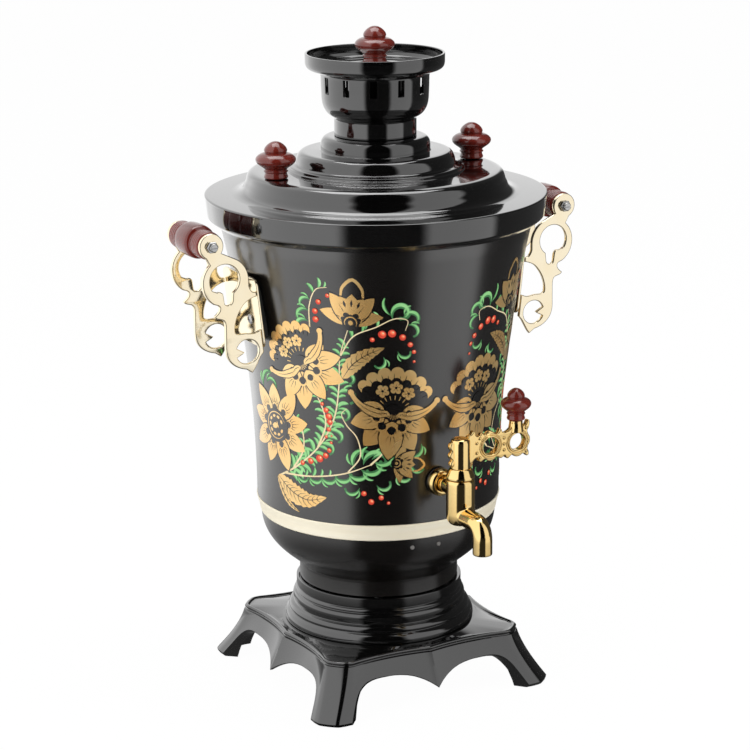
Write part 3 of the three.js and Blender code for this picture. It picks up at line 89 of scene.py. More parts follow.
def mesh_of(part, sharp=38):
    """A mesh from a (verts, faces) part in millimetres."""
    verts, faces = part
    mesh = bpy.data.meshes.new("mesh")
    mesh.from_pydata([(x * MM, y * MM, z * MM) for x, y, z in verts], [], faces)
    return shade(clean(mesh), sharp)


def place(name, mesh, look, body, replaced=None):
    """Puts a finished mesh in the scene, on its body, in the place of a CAD node."""
    mesh.materials.clear()
    mesh.materials.append(look)
    piece = linked(name, mesh)
    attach(piece, body)
    if replaced:
        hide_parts(replaced)


def combined(mesh, other, operation):
    holder, helper = linked("holder", mesh), linked("helper", other)
    modifier = holder.modifiers.new("cut", "BOOLEAN")
    modifier.operation, modifier.solver, modifier.object = operation, "EXACT", helper
    made = evaluated(holder)
    bpy.data.objects.remove(helper)
    return made


def minus(mesh, *cutters):
    for cutter in cutters:
        mesh = combined(mesh, cutter, "DIFFERENCE")
    return mesh


def joined(*parts):
    """Several parts as one."""
    verts, faces = [], []
    for part_verts, part_faces in parts:
        start = len(verts)
        verts += part_verts
        faces += [tuple(i + start for i in face) for face in part_faces]
    return verts, faces


def together(*meshes):
    """Several meshes as one."""
    made = bmesh.new()
    for mesh in meshes:
        made.from_mesh(mesh)
    whole = bpy.data.meshes.new("mesh")
    made.to_mesh(whole)
    made.free()
    return whole


def turn(angle, axis):
    return Matrix.Rotation(math.radians(angle), 3, axis)


def moved(part, move=(0, 0, 0), way=Matrix.Identity(3)):
    """The part turned by a matrix and then moved."""
    verts, faces = part
    return [tuple(way @ Vector(v) + Vector(move)) for v in verts], faces


def shift(x=0, y=0, z=0):
    return Matrix.Translation(Vector((x, y, z)) * MM)


def transformed(mesh, matrix):
    copy = mesh.copy()
    copy.transform(matrix)
    if matrix.determinant() < 0:
        copy.flip_normals()
    return copy


def grid(rows, closed=False):
    """Faces between rows of vertex numbers, each row a ring; a ring of one number over and over is a pole."""
    faces = []
    pairs = list(zip(rows, rows[1:])) + ([(rows[-1], rows[0])] if closed else [])
    for low, high in pairs:
        for i in range(len(low)):
            j = (i + 1) % len(low)
            corners = [low[i], low[j], high[j], high[i]]
            kept = [c for k, c in enumerate(corners) if c != corners[k - 1]]
            if len(kept) > 2:
                faces.append(tuple(kept))
    return faces


def lathe(profile, steps=ROUND, closed=False):
    """A profile of (radius, height) turned about Z. Points on the axis become poles."""
    verts, rows = [], []
    for radius, height in profile:
        count = 1 if abs(radius) < 1e-6 else steps
        rows.append([len(verts) + i % count for i in range(steps)])
        for i in range(count):
            angle = 2 * math.pi * i / steps
            verts.append((radius * math.cos(angle), radius * math.sin(angle), height))
    return verts, grid(rows, closed)


def per_point(value, count):
    return value if isinstance(value, (list, tuple)) else [value] * count


def conic(start, corner, end, t):
    """A point of the curve that leaves one line for another at their corner."""
    return start * (1 - t) ** 2 + corner * 2 * t * (1 - t) + end * t * t


def rounded(points, radii, steps=5, closed=False):
    """A line with its corners rounded; radii is one number or one for each point."""
    count = len(points)
    out = []
    for i, (point, radius) in enumerate(zip(points, per_point(radii, count))):
        corner = Vector(point)
        if (not closed and i in (0, count - 1)) or radius <= 0:
            out.append(tuple(corner))
            continue
        before = Vector(points[i - 1]) - corner
        after = Vector(points[(i + 1) % count]) - corner
        reach = min(radius, before.length * 0.48, after.length * 0.48)
        first = corner + before.normalized() * reach
        last = corner + after.normalized() * reach
        out += [tuple(conic(first, corner, last, k / steps)) for k in range(steps + 1)]
    return out


def smoothed(points, steps=6):
    """A smooth line through points, centripetal so that it doesn't overshoot."""
    pts = [Vector(p) for p in points]
    pts = [pts[0] * 2 - pts[1], *pts, pts[-1] * 2 - pts[-2]]
    out = []
    for i in range(len(pts) - 3):
        four = pts[i : i + 4]
        knots = [0.0]
        for a, b in zip(four, four[1:]):
            knots.append(knots[-1] + max((b - a).length, 1e-6) ** 0.5)
        for k in range(steps):
            t = knots[1] + (knots[2] - knots[1]) * k / steps
            row = four
            for gap in (1, 2):
                shares = [(t - a) / (b - a) for a, b in zip(knots, knots[gap:])]
                row = [a.lerp(b, share) for a, b, share in zip(row, row[1:], shares)]
            out.append(tuple(row[0].lerp(row[1], k / steps)))
    return [*out, tuple(pts[-2])]


def bezier(a, b, c, d, steps):
    out = []
    for i in range(steps + 1):
        t = i / steps
        weights = ((1 - t) ** 3, 3 * t * (1 - t) ** 2, 3 * t * t * (1 - t), t**3)
        out.append(tuple(sum(w * p[n] for w, p in zip(weights, (a, b, c, d))) for n in (0, 1)))
    return out


def arc(centre, radius, start, end, steps=12):
    out = []
    for i in range(steps + 1):
        angle = math.radians(start + (end - start) * i / steps)
        out.append((centre[0] + radius * math.cos(angle), centre[1] + radius * math.sin(angle)))
    return out


def circle(centre, radius, steps):
    return arc(centre, radius, 0, 360, steps)[:-1]


def box_line(half_width, half_height, radii, steps=8):
    """A rectangle about the origin with rounded corners."""
    w, h = half_width, half_height
    return rounded([(-w, -h), (w, -h), (w, h), (-w, h)], radii, steps, closed=True)


def sheet(line, wall):
    """A closed profile: the line and the same line moved inwards by a wall."""
    inner = []
    for i, point in enumerate(line):
        here = Vector(point)
        before = here - Vector(line[max(i - 1, 0)])
        after = Vector(line[min(i + 1, len(line) - 1)]) - here
        along = (before.normalized() + after.normalized()).normalized()
        inner.append(tuple(here + Vector((-along.y, along.x)) * wall))
    return list(line) + inner[::-1]


def tube(path, radii, sides):
    """A round tube with closed ends along 3-D points; radii is one number or one for each point."""
    pts = [Vector(p) for p in path]
    side = (pts[1] - pts[0]).orthogonal()
    verts, rows = [], []
    for i, (point, radius) in enumerate(zip(pts, per_point(radii, len(pts)))):
        along = (pts[min(i + 1, len(pts) - 1)] - pts[max(i - 1, 0)]).normalized()
        side = (side - along * side.dot(along)).normalized()
        other = along.cross(side)
        rows.append(range(len(verts), len(verts) + sides))
        for k in range(sides):
            angle = 2 * math.pi * k / sides
            verts.append(tuple(point + (side * math.cos(angle) + other * math.sin(angle)) * radius))
    return verts, grid(rows) + [tuple(rows[0])[::-1], tuple(rows[-1])]


def cube(low, high):
    verts = [(x, y, z) for z in (low[2], high[2]) for y in (low[1], high[1]) for x in (low[0], high[0])]
    return verts, [(0, 2, 3, 1), (4, 5, 7, 6), (0, 1, 5, 4), (2, 6, 7, 3), (0, 4, 6, 2), (1, 3, 7, 5)]


def spaced(line, least=0.3):
    """A closed line without points that crowd together."""
    kept = []
    for point in line:
        if not kept or math.dist(point, kept[-1]) >= least:
            kept.append(point)
    while len(kept) > 3 and math.dist(kept[0], kept[-1]) < least:
        kept.pop()
    return kept


def plate(outline, holes, depth, bevel, steps=3):
    """A flat plate with round edges from closed 2-D lines, thick along Z, centred on the plane."""
    curve = bpy.data.curves.new("plate", "CURVE")
    curve.dimensions = "2D"
    curve.fill_mode = "BOTH"
    curve.extrude = (depth / 2 - bevel) * MM
    curve.bevel_depth = bevel * MM
    curve.bevel_resolution = steps
    curve.offset = -bevel * MM
    for line in map(spaced, [outline, *holes]):
        spline = curve.splines.new("POLY")
        spline.points.add(len(line) - 1)
        for point, (x, y) in zip(spline.points, line):
            point.co = (x * MM, y * MM, 0, 1)
        spline.use_cyclic_u = True
    return shade(clean(evaluated(linked("plate", curve))), 40)


# Turns for a plate that is drawn flat: upright in X and Z, or thick along X
UPRIGHT = Matrix.Rotation(math.radians(90), 4, "X")
ALONG_X = Matrix(((0, 0, 1, 0), (1, 0, 0, 0), (0, 1, 0, 0), (0, 0, 0, 1)))


def block(size, corner, near, far, bevel=0, x=0.0, z=0.0):
    """A block with round corners, flat on X and Z and thick along Y from near to far."""
    outline = box_line(size[0] / 2, size[1] / 2, corner, 6)
    return transformed(plate(outline, [], far - near, bevel, 2), shift(x, (near + far) / 2, z) @ UPRIGHT)


def turned(
    profile, radii=0, closed=False, steps=ROUND, sharp=38,
    at=(0, 0, 0), way=Matrix.Identity(3), soft=5,
):
    """A mesh of revolution from a profile with rounded corners, stood about Z and then turned and moved."""
    return mesh_of(moved(lathe(rounded(profile, radii, soft, closed), steps, closed), at, way), sharp)


# Materials


def fill(tree, made, values):
    """Sets a node's inputs, by name or number, to a number, a colour or the output of another node."""
    for key, value in values.items():
        if isinstance(value, bpy.types.NodeSocket):
            tree.links.new(value, made.inputs[key])
        else:
            made.inputs[key].default_value = value


def node(tree, kind, values=None, **settings):
    """A new shader node with its settings and inputs."""
    made = tree.nodes.new("ShaderNode" + kind)
    for key, value in settings.items():
        setattr(made, key, value)
    fill(tree, made, values or {})
    return made


def noise(tree, scale, detail, stretch=(1, 1, 1)):
    where = node(tree, "TexCoord").outputs["Object"]
    mapping = node(tree, "Mapping", {"Vector": where, "Scale": stretch})
    values = {"Vector": mapping.outputs["Vector"], "Scale": scale, "Detail": detail}
    return node(tree, "TexNoise", values).outputs["Fac"]


def spread(tree, value, low, high, start=0.3, end=0.7, kind="LINEAR"):
    """The value spread from low to high between two limits."""
    values = {"Value": value, "From Min": start, "From Max": end, "To Min": low, "To Max": high}
    return node(tree, "MapRange", values, interpolation_type=kind).outputs["Result"]


def finish(
    name, first, second, rough, metal=0.0, scale=60.0, coat=0.0, coat_rough=0.03,
    peel=0.0, peel_scale=400.0, stretch=(1, 1, 1), shine=0.5,
):
    """A surface whose colour and gloss vary a little from patch to patch, with a fine relief."""
    material = bpy.data.materials.new(name)
    material.use_nodes = True
    tree = material.node_tree
    patches = noise(tree, scale, 4.0, stretch)
    values = {0: spread(tree, patches, 0, 1), 6: (*first, 1), 7: (*second, 1)}
    values = {
        "Base Color": node(tree, "Mix", values, data_type="RGBA").outputs[2],
        "Roughness": spread(tree, patches, *rough),
        "Metallic": metal,
        "Specular IOR Level": shine,
        "Coat Weight": coat,
        "Coat Roughness": coat_rough,
    }
    if peel:
        relief = {"Height": noise(tree, peel_scale, 2.0), "Distance": peel}
        values["Normal"] = node(tree, "Bump", relief).outputs["Normal"]
    fill(tree, tree.nodes["Principled BSDF"], values)
    return material


lacquer = finish(
    "gloss_black_lacquer", (0.0014, 0.0014, 0.0015), (0.0028, 0.0027, 0.0026), (0.05, 0.11),
    scale=25, coat=1.0, peel=0.00002, peel_scale=260, shine=0.8,
)
satin = finish(
    "satin_black_enamel", (0.003, 0.0022, 0.0017), (0.0045, 0.0035, 0.0027), (0.2, 0.26),
    scale=18, coat=1.0, coat_rough=0.2, peel=0.00001, peel_scale=900, shine=0.9,
)
polish = {"metal": 1.0, "scale": 40, "peel": 0.00002, "peel_scale": 500}
gold = finish("polished_gold", (0.88, 0.62, 0.25), (0.93, 0.69, 0.31), (0.06, 0.12), **polish)
pale_gold = finish("pale_gold", (0.93, 0.80, 0.56), (0.96, 0.87, 0.67), (0.08, 0.16), **polish)
wood_red = finish(
    "dark_red_gloss", (0.085, 0.009, 0.006), (0.16, 0.018, 0.011), (0.14, 0.22),
    scale=30, coat=0.5, stretch=(1, 1, 0.3),
)
steel = finish("plain_steel", (0.45, 0.45, 0.45), (0.6, 0.6, 0.6), (0.25, 0.4), metal=1.0, scale=90)
bright = finish("polished_steel", (0.62, 0.62, 0.62), (0.7, 0.7, 0.7), (0.08, 0.16), metal=1.0, scale=50)
plastic = finish(
    "black_plastic", (0.012, 0.012, 0.012), (0.022, 0.022, 0.022), (0.45, 0.6),
    scale=120, peel=0.00004, peel_scale=1500,
)
rubber = finish(
    "rubber", (0.015, 0.015, 0.015), (0.03, 0.03, 0.03), (0.7, 0.85),
    scale=150, peel=0.00005, peel_scale=1200,
)
band_gold = finish(
    "satin_gold", (0.95, 0.87, 0.67), (0.98, 0.92, 0.76), (0.38, 0.46), metal=0.4, stretch=(0.2, 0.2, 3),
)
print_gold = finish(
    "gold_print", (0.90, 0.50, 0.14), (0.98, 0.70, 0.31), (0.24, 0.32),
    metal=0.75, scale=22, coat=1.0, coat_rough=0.2,
)
print_cream = finish("cream_print", (0.62, 0.50, 0.28), (0.72, 0.60, 0.38), (0.35, 0.45))
leafy = {"rough": (0.3, 0.38), "scale": 80, "shine": 0.9}
print_green = finish("green_print", (0.02, 0.12, 0.03), (0.04, 0.20, 0.06), **leafy)
print_mint = finish("mint_print", (0.15, 0.46, 0.14), (0.26, 0.58, 0.22), **leafy)
print_red = finish("red_print", (0.50, 0.028, 0.012), (0.62, 0.05, 0.02), (0.3, 0.4), scale=80)
print_coral = finish("coral_print", (0.82, 0.13, 0.045), (0.88, 0.20, 0.08), (0.3, 0.4), scale=80)
lens = finish("grey_lens", (0.10, 0.095, 0.09), (0.16, 0.155, 0.15), (0.1, 0.2), scale=80)


# Stand: a skirted casting on four curved legs

TOP = 40  # height of the stand's edge
UNDER = 37.4  # its underside
SIDE, CORNER = 78.6, 103.4  # how far the middle of a side and a corner lie from the axis
COLUMNS = 56  # steps of the mesh in an octant
FOOT = 0.8  # the feet end just above the ground
ARCH, TOOTH = 26, 13.6  # height of the skirt's arch, and of its tooth in the middle of a side


def smoothstep(value, low, high):
    t = min(max((value - low) / (high - low), 0), 1)
    return t * t * (3 - 2 * t)


def stand_plan():
    """Dense plan of one octant with its share of leg, from the middle of a side to the middle of a corner."""
    hollow, leg_width, bulge = 7.2, 18.4, 0.9
    shoulder = Vector((1, 1)) * (CORNER - 1) / math.sqrt(2)
    start, end = Vector((SIDE, 0)), shoulder + Vector((1, -1)) * leg_width / 2 / math.sqrt(2)
    pull = Vector((SIDE - hollow, end.y / 2))
    line = [(conic(start, pull, end, i / 160), smoothstep(i / 160, 0.5, 1)) for i in range(161)]
    for i in range(1, 30):
        rise = bulge * (1 - (1 - i / 30) ** 2)
        line.append((end.lerp(shoulder, i / 30) + Vector((rise, rise)) / math.sqrt(2), 1.0))
    line.append((Vector((1, 1)) * CORNER / math.sqrt(2), 1.0))
    # the shoulder between side and corner is softened over a few millimetres
    soft = line[:]
    for i in range(131, 186):
        reach = 14 - abs(i - 158) // 2
        near = line[i - reach : i + reach + 1]
        soft[i] = (sum((point for point, _ in near), Vector((0, 0))) / len(near), line[i][1])
    return soft


def flare(height, leg):
    """How far skirt and leg stand out at a height."""
    depth = TOP - height
    skirt = 12 * (depth / (TOP - TOOTH)) ** 1.1
    foot = 26 * (depth / TOP) ** 1.45
    return skirt + (foot - skirt) * leg


def arch_line():
    """Height of the lower edge of the skirt by distance from the middle of a side."""
    width = 73
    first = ((0, 0), (0.16, 0.8), (0.34, 1), (0.52, 1))
    first = [(width * x, TOOTH + (ARCH - TOOTH) * z) for x, z in first]
    second = [(width * x, ARCH * z) for x, z in ((0.52, 1), (0.76, 1), (0.88, 0.86), (1, 0))]
    return bezier(*first, 60)[:-1] + bezier(*second, 60)


def column_end(point, out, leg, low):
    return (point + out * flare(low, leg)).to_3d() + Vector((0, 0, low))


def stand_columns():
    """Columns of one octant: plan point, direction outwards, leg share and lower edge."""
    arch = arch_line()

    def edge_height(y):
        for (x0, z0), (x1, z1) in zip(arch, arch[1:]):
            if x0 <= y < x1:
                return z0 + (z1 - z0) * (y - x0) / (x1 - x0)
        return FOOT

    columns = []
    for point, leg in stand_plan():
        out = Vector((1, leg)).normalized()
        height = TOP - 1.0
        while height > FOOT and height > edge_height((point + out * flare(height, leg)).y):
            height -= 0.1
        columns.append((point, out, leg, max(height, FOOT)))
    # columns are kept at even steps along the mean of upper and lower edge
    lengths = [0.0]
    for before, after in zip(columns, columns[1:]):
        above = (after[0] - before[0]).length
        below = (column_end(*after) - column_end(*before)).length
        lengths.append(lengths[-1] + 0.5 * above + 0.5 * below)
    aims = [lengths[-1] * k / COLUMNS for k in range(COLUMNS + 1)]
    chosen = [min(range(len(lengths)), key=lambda n: abs(lengths[n] - aim)) for aim in aims]
    return [columns[i] for i in sorted(set(chosen))]


def stand_mesh():
    octant = stand_columns()
    quarter = octant + [(point.yx, out.yx, leg, low) for point, out, leg, low in octant[-2:0:-1]]
    ring = []
    for k in range(4):
        spin = Matrix.Rotation(math.radians(90 * k), 2)
        ring += [(spin @ point, spin @ out, leg, low) for point, out, leg, low in quarter]
    verts = []

    def row(rule):
        """Adds a row; from leg share and lower edge the rule gives reach beyond the plan, and height."""
        for point, out, leg, low in ring:
            reach, height = rule(leg, low)
            verts.append((*(point + out * reach), height))

    def disc(radius, height):
        verts.extend((*(column[0].normalized() * radius), height) for column in ring)

    for radius, height in ((3.4, 42.3), (40, 42.3), (70.5, 42.3), (72.0, 42.0)):
        disc(radius, height)
    bead_and_groove = [
        (-6.4, 40.6), (-4.2, 40.2), (-3.7, 40.3), (-3.3, 40.6), (-2.9, 41.0), (-2.4, 41.25), (-1.8, 41.3),
        (-1.2, 41.25), (-0.7, 41.0), (-0.3, 40.6), (-0.05, 40.0), (-0.1, 39.5), (-0.4, 39.1), (-0.8, 38.7),
        (-1.0, 38.3), (-0.8, 37.9), (-0.3, 37.7), (0.4, 37.6),
    ]
    for spot in bead_and_groove:
        row(lambda leg, low: spot)

    def lip(leg):
        """Radius of the round lower edge."""
        return 0.7 + 1.9 * leg

    def outside(leg, low):
        height = UNDER - (UNDER - low - lip(leg)) * share
        return flare(height, leg), height

    def edge(leg, low):
        start = low + lip(leg)
        return flare(start, leg) - lip(leg) * (1 - math.cos(angle)), start - lip(leg) * math.sin(angle)

    def inside(leg, low):
        height = low + (UNDER - low) * share
        return flare(max(height, TOP * 0.18), leg) - 2.6 - 6.4 * leg, height

    for share in (i / 22 for i in range(23)):
        row(outside)
    for angle in (math.radians(18 * i) for i in range(1, 6)):
        row(edge)
    for share in (0, 0.03, 0.12, 0.25, 0.4, 0.55, 0.7, 0.85, 1):
        row(inside)
    for radius in (60, 20, 3.4):
        disc(radius, UNDER)
    count = len(ring)
    return verts, grid([range(i, i + count) for i in range(0, len(verts), count)], closed=True)


place("stand", mesh_of(stand_mesh(), 22), lacquer, "samovar", "base_stand")

for corner in ("back_right", "back_left", "front_left", "front_right"):
    low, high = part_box("foot_pad_" + corner)
    middle = (low + high) / 2 / MM
    pad = turned([(0, 0), (3.8, 0), (3.8, 2.0), (0, 2.0)], [0, 0.5, 0.3, 0], steps=40, at=(*middle.xy, 0))
    place("pad_" + corner, pad, rubber, "samovar", "foot_pad_" + corner)

cover_line = rounded([(3.4, 33.1), (50, 33.1), (56, 35.1), (56, 37.1)], 1.2)
cover = turned(sheet(cover_line, 1.9), closed=True, steps=96)
place("under_cover", cover, plastic, "samovar", "bottom_cover")


# Collar between stand and body

collar_line = [
    (69.0, 42.6), (69.4, 43.4), (69.4, 44.6), (69.2, 46.2), (68.3, 48.1), (66.6, 49.5), (66.0, 50.0),
    (66.4, 51.0), (66.3, 52.4), (64.8, 54.2), (62.6, 55.1), (62.7, 56.6), (63.0, 58.0), (63.0, 60.4),
    (62.4, 62.2), (60.8, 63.0), (60.8, 63.6), (61.5, 64.4), (60.9, 65.4), (59.8, 66.3), (60.3, 67.2),
    (60.4, 73.9), (57.4, 73.9), (57.4, 45.0), (3.4, 45.0), (3.4, 42.6),
]
collar_radii = [
    0.4, 0.6, 0.6, 0.8, 0.8, 0.4, 0.3, 0.5, 0.8, 0.8, 0.3, 0.6, 0.9,
    0.9, 0.8, 0.3, 0.3, 0.5, 0.5, 0.3, 0.5, 0.4, 0.4, 0.4, 0.3, 0.3,
]
collar = turned(collar_line, collar_radii, closed=True, sharp=50, soft=4)
place("collar", collar, lacquer, "samovar", "pedestal_collar")


# Lower bowl with its window for the power inlet

INLET = 106.4  # height of the inlet's middle

bowl_curve = bezier((57.8, 84.3), (57.8, 92.7), (84.2, 99.4), (85.3, 126.0), 24)
bowl_line = sheet([(57.4, 74.6), (57.8, 75.0), *bowl_curve], 2.4)[:-1]
bowl_line += [(55.4, 77.0), (3.4, 77.0), (3.4, 74.6)]
window = block((52.6, 22.6), 4.3, 55, 95, z=INLET)
bowl = shade(minus(turned(bowl_line, closed=True), window), 35)
place("bowl", bowl, satin, "samovar", "lower_bowl")


# Gold band

band_line = [(85.4, 126.3), (85.9, 126.9), (86.8, 132), (88.5, 137.8), (88.4, 138.3)]
band_line += [(86.0, 138.3), (83.0, 126.3)]
band = turned(band_line, [0, 0.5, 0.5, 0.5, 0, 0, 0], closed=True, steps=160)
place("band", band, band_gold, "samovar", "gold_band")


# Casing, tank and rim

CASING_LOW, CASING_RISE = 138.6, 195.7  # where the casing starts to spread, and up to how far above that
WAIST, SPREAD = 88, 22  # its radius there, and how much it grows


def casing_radius(height):
    share = min(max((height - CASING_LOW) / CASING_RISE, 0), 1)
    return WAIST + SPREAD * share * share


heights = [CASING_LOW + CASING_RISE * i / 30 for i in range(31)]
casing_line = [(casing_radius(h), h) for h in heights] + [(110, 344), (110, 354.3)]
casing = turned(sheet(casing_line, 1.2), closed=True, steps=180)
place("casing", casing, satin, "samovar", "body_shell")

tank_line = [(0, 134.6), *bezier((72, 134.6), (80, 134.6), (83.6, 138.5), (84.0, 148.6), 8)]
tank_line += [(casing_radius(h) - 4.2, h) for h in (170, 200, 230, 260, 290, 315, 334.3)] + [(105.8, 353.6)]
tank_rim = [(106.4, 354.6), (109.4, 354.6), (109.4, 355.6), (105.6, 355.6), (104.8, 354.6)]
inside = [(r - 1.0, h + (1.0 if h < 150 else 0)) for r, h in tank_line[:0:-1]]
tank = turned([*tank_line, *tank_rim, *inside, (0, 135.6)], steps=120)
place("tank", tank, steel, "samovar", "inner_tank")

rim_line = rounded([(111.6, 349.1), (111.6, 357.1), (104.2, 357.1)], 1.0)
rim = turned(sheet(rim_line, 1.15), closed=True)
place("rim", rim, lacquer, "samovar", "rim_ring")


# Painted ornament: shapes drawn flat, in millimetres round and up the casing, then laid on it in thin layers

LAYERS = {  # each layer's height above the enamel, and its paint
    "leaf": (0.07, print_green),
    "leaf_light": (0.11, print_mint),
    "stem": (0.15, print_cream),
    "gold": (0.19, print_gold),
    "margin": (0.23, satin),
    "gold_over": (0.27, print_gold),
    "dark": (0.31, satin),
    "gold_top": (0.35, print_gold),
    "dark_top": (0.39, satin),
    "gold_high": (0.43, print_gold),
    "dark_high": (0.47, satin),
    "berry": (0.31, print_red),
    "berry_light": (0.35, print_coral),
    "glint": (0.39, print_cream),
}
PRINT_MIDDLE = 47  # degrees from the tap to the middle of the print on each side
STRIP, STEP = 4, 12  # the print is cut in strips this wide and high, so that it follows the casing

art = {layer: [] for layer in LAYERS}  # the outlines of each layer


def heading(angle, length=1.0):
    return Vector((math.cos(math.radians(angle)), math.sin(math.radians(angle)))) * length


def followed(line):
    """Each point of a line with the directions along it and across it."""
    for i, point in enumerate(line):
        along = (line[min(i + 1, len(line) - 1)] - line[max(i - 1, 0)]).normalized()
        yield point, along, Vector((-along.y, along.x))


def stroke(layer, points, widths, steps=5):
    """A brush stroke along a smooth line, its widths spread evenly over the line."""
    line = [Vector(p) for p in smoothed(points, steps)]
    left, right = [], []
    for i, (point, _, across) in enumerate(followed(line)):
        spot = i / (len(line) - 1) * (len(widths) - 1)
        low = min(int(spot), len(widths) - 2)
        half = (widths[low] + (widths[low + 1] - widths[low]) * (spot - low)) / 2
        left.append(tuple(point + across * max(half, 0.02)))
        right.append(tuple(point - across * max(half, 0.02)))
    art[layer].append(left + right[::-1])


def ray(layer, foot, angle, length, widths, steps=2):
    stroke(layer, [foot, foot + heading(angle, length)], widths, steps)


def dot(layer, centre, radius, count=18, squeeze=1.0, angle=0):
    out = []
    for i in range(count):
        point = heading(360 * i / count, radius)
        point.y *= squeeze
        point.rotate(Matrix.Rotation(math.radians(angle), 2))
        out.append(tuple(Vector(centre) + point))
    art[layer].append(out)


def curl_path(root, angle, length, curl, count=7):
    """A line that starts at a root in one direction and curls more and more."""
    points = [Vector(root)]
    for i in range(1, count):
        share = i / (count - 1)
        points.append(points[-1] + heading(angle + curl * share**1.4, length / (count - 1)))
    return points


def blade(root, angle, length, curl, width):
    """A comma of grass: a dark green stroke with a pale one along its outer side."""
    path = curl_path(root, angle, length, curl)
    stroke("leaf", path, [0.15, *(width * share for share in (0.5, 0.9, 1, 0.85, 0.4))], 3)
    dot("leaf", path[-1], width * 0.24, 8)
    side = heading(angle + curl * 0.5 + (-90 if curl > 0 else 90), width * 0.12)
    pale = [p + side for p in path[1:]]
    stroke("leaf_light", pale, [0.1, *(width * share for share in (0.5, 0.65, 0.55, 0.3))], 3)
    dot("leaf_light", path[-1] + side, width * 0.15, 8)


def scroll(root, angle, length, curl, width):
    """A plump comma that rolls up at its tip, with a pale streak and a smaller comma on its back."""
    path = curl_path(root, angle, length * 1.12, curl * 1.35, 11)
    stroke("leaf", path, [0.3, *(width * share for share in (0.6, 1, 1.15, 1.05, 0.8, 0.5))], 4)
    dot("leaf", path[-1], width * 0.36, 10)
    way = 1 if curl > 0 else -1
    side = heading(angle + curl * 0.4 - way * 90, width * 0.16)
    pale = [p + side for p in path[1:-1]]
    stroke("leaf_light", pale, [0.1, *(width * share for share in (0.4, 0.66, 0.66, 0.4)), 0.2], 4)
    blade(path[1], angle - way * 36, length * 0.55, way * 80, width * 0.62)


def stem(points, thick=1.1):
    stroke("stem", points, [thick * 1.3, thick, thick * 0.9, thick * 0.5], 6)


def spray(points, start, end, length, ways=(1, -1)):
    """Commas of grass along a stem, smaller towards its tip."""
    spacing, lean, curl = 4.4, 22, 72
    line = smoothed(points, 8)
    reach = sum(math.dist(a, b) for a, b in zip(line, line[1:]))
    count = max(int(reach * (end - start) / spacing), 2)
    for i in range(count):
        k = min(int((start + (end - start) * i / (count - 1)) * (len(line) - 1)), len(line) - 2)
        along = math.degrees(math.atan2(line[k + 1][1] - line[k][1], line[k + 1][0] - line[k][0]))
        size = length * (1.25 - 0.5 * i / count) * (0.85 + 0.15 * math.sin(i * 2.4))
        for way in ways:
            blade(line[k], along + way * lean, size, way * curl, size * 0.36)


def berries(points, sizes):
    """A string of berries, each with a lit side and a small bright spot."""
    line = smoothed(points, 8)
    for i, size in enumerate(sizes):
        centre = Vector(line[round(i / (len(sizes) - 1) * (len(line) - 1))])
        dot("berry", centre, size)
        dot("berry_light", centre + heading(55, size * 0.24), size * 0.62, 12, 0.8, 145)
        dot("glint", centre + heading(50, size * 0.42), size * 0.24, 8)


def blossom(centre, radius, angle):
    """A small flower with five round petals."""
    outline = []
    for i in range(50):
        lobe = abs(math.cos(math.radians(2.5 * 360 * i / 50)))
        outline.append(tuple(centre + heading(angle + 360 * i / 50, radius * (0.6 + 0.4 * lobe**0.55))))
    art["gold"].append(outline)
    dot("dark", centre, radius * 0.2, 8)
    for k in range(5):
        way = angle + 72 * k
        ray("dark", centre + heading(way, radius * 0.3), way, radius * 0.28, [0.3, 0.12])


def petal(base, angle, length, width, rays=3, hook=0.0, over=False):
    """A pointed petal with a dark eye at its foot, a pale arc in the eye, and fine dark rays."""
    along, across = heading(angle), heading(angle + 90)

    def outline(grow):
        foot = base - along * grow
        tip = base + heading(angle + hook, length + 2 * grow)
        sides = []
        for way in (1, -1):
            first = foot + along * length * 0.12 + across * way * (width * 0.72 + grow * 1.5)
            second = foot + along * length * 0.72 + across * way * (width * 0.62 + grow * 1.5)
            sides.append(bezier(foot, first, second, tip, 12))
        return sides[0] + sides[1][1:-1][::-1]

    if over:
        art["margin"].append(outline(0.7))
    art["gold_over" if over else "gold"].append(outline(0))
    eye = base + along * length * 0.27
    dot("dark", eye, width * 0.24, 14, 0.86, angle)
    arch = [eye + heading(angle + off, width * 0.185) for off in (-100, -50, 0, 50, 100)]
    stroke("gold_top", arch, [0.1, width * 0.09, width * 0.1, width * 0.09, 0.1], 3)
    for k in range(rays):
        off = k - (rays - 1) / 2
        way = angle + off * 26
        start = eye + heading(way, width * 0.22)
        reach = length * (0.26 - 0.05 * abs(off))
        path = [start, start + heading(way, reach * 0.5), start + heading((way + angle) / 2, reach)]
        stroke("dark", path, [0.55, 0.3, 0.08], 2)


def fan(centre, inner, outer, start, end, lobes):
    """A scalloped crest round one side of a flower."""
    rim, throat = [], []
    for i in range(lobes * 8 + 1):
        share = i / (lobes * 8)
        angle = start + (end - start) * share
        wave = abs(math.sin(math.pi * lobes * share))
        fade = math.sin(math.pi * share) ** 0.3
        top = outer * (0.9 + 0.1 * wave**0.6) * (0.86 + 0.14 * fade)
        rim.append(tuple(centre + heading(angle, top)))
        foot = inner * (1.0 + 0.1 * wave**0.8) + (outer - inner) * 0.35 * (1 - fade)
        throat.append(tuple(centre + heading(angle, foot)))
    art["gold"].append(rim + throat[::-1])
    for i in range(lobes * 2):
        angle = start + (end - start) * (i + 0.5) / (lobes * 2)
        reach = (outer - inner) * (0.34 if i % 2 else 0.2)
        ray("dark", centre + heading(angle, inner * 0.98), angle, reach + inner * 0.1, [0.9, 0.1], 3)


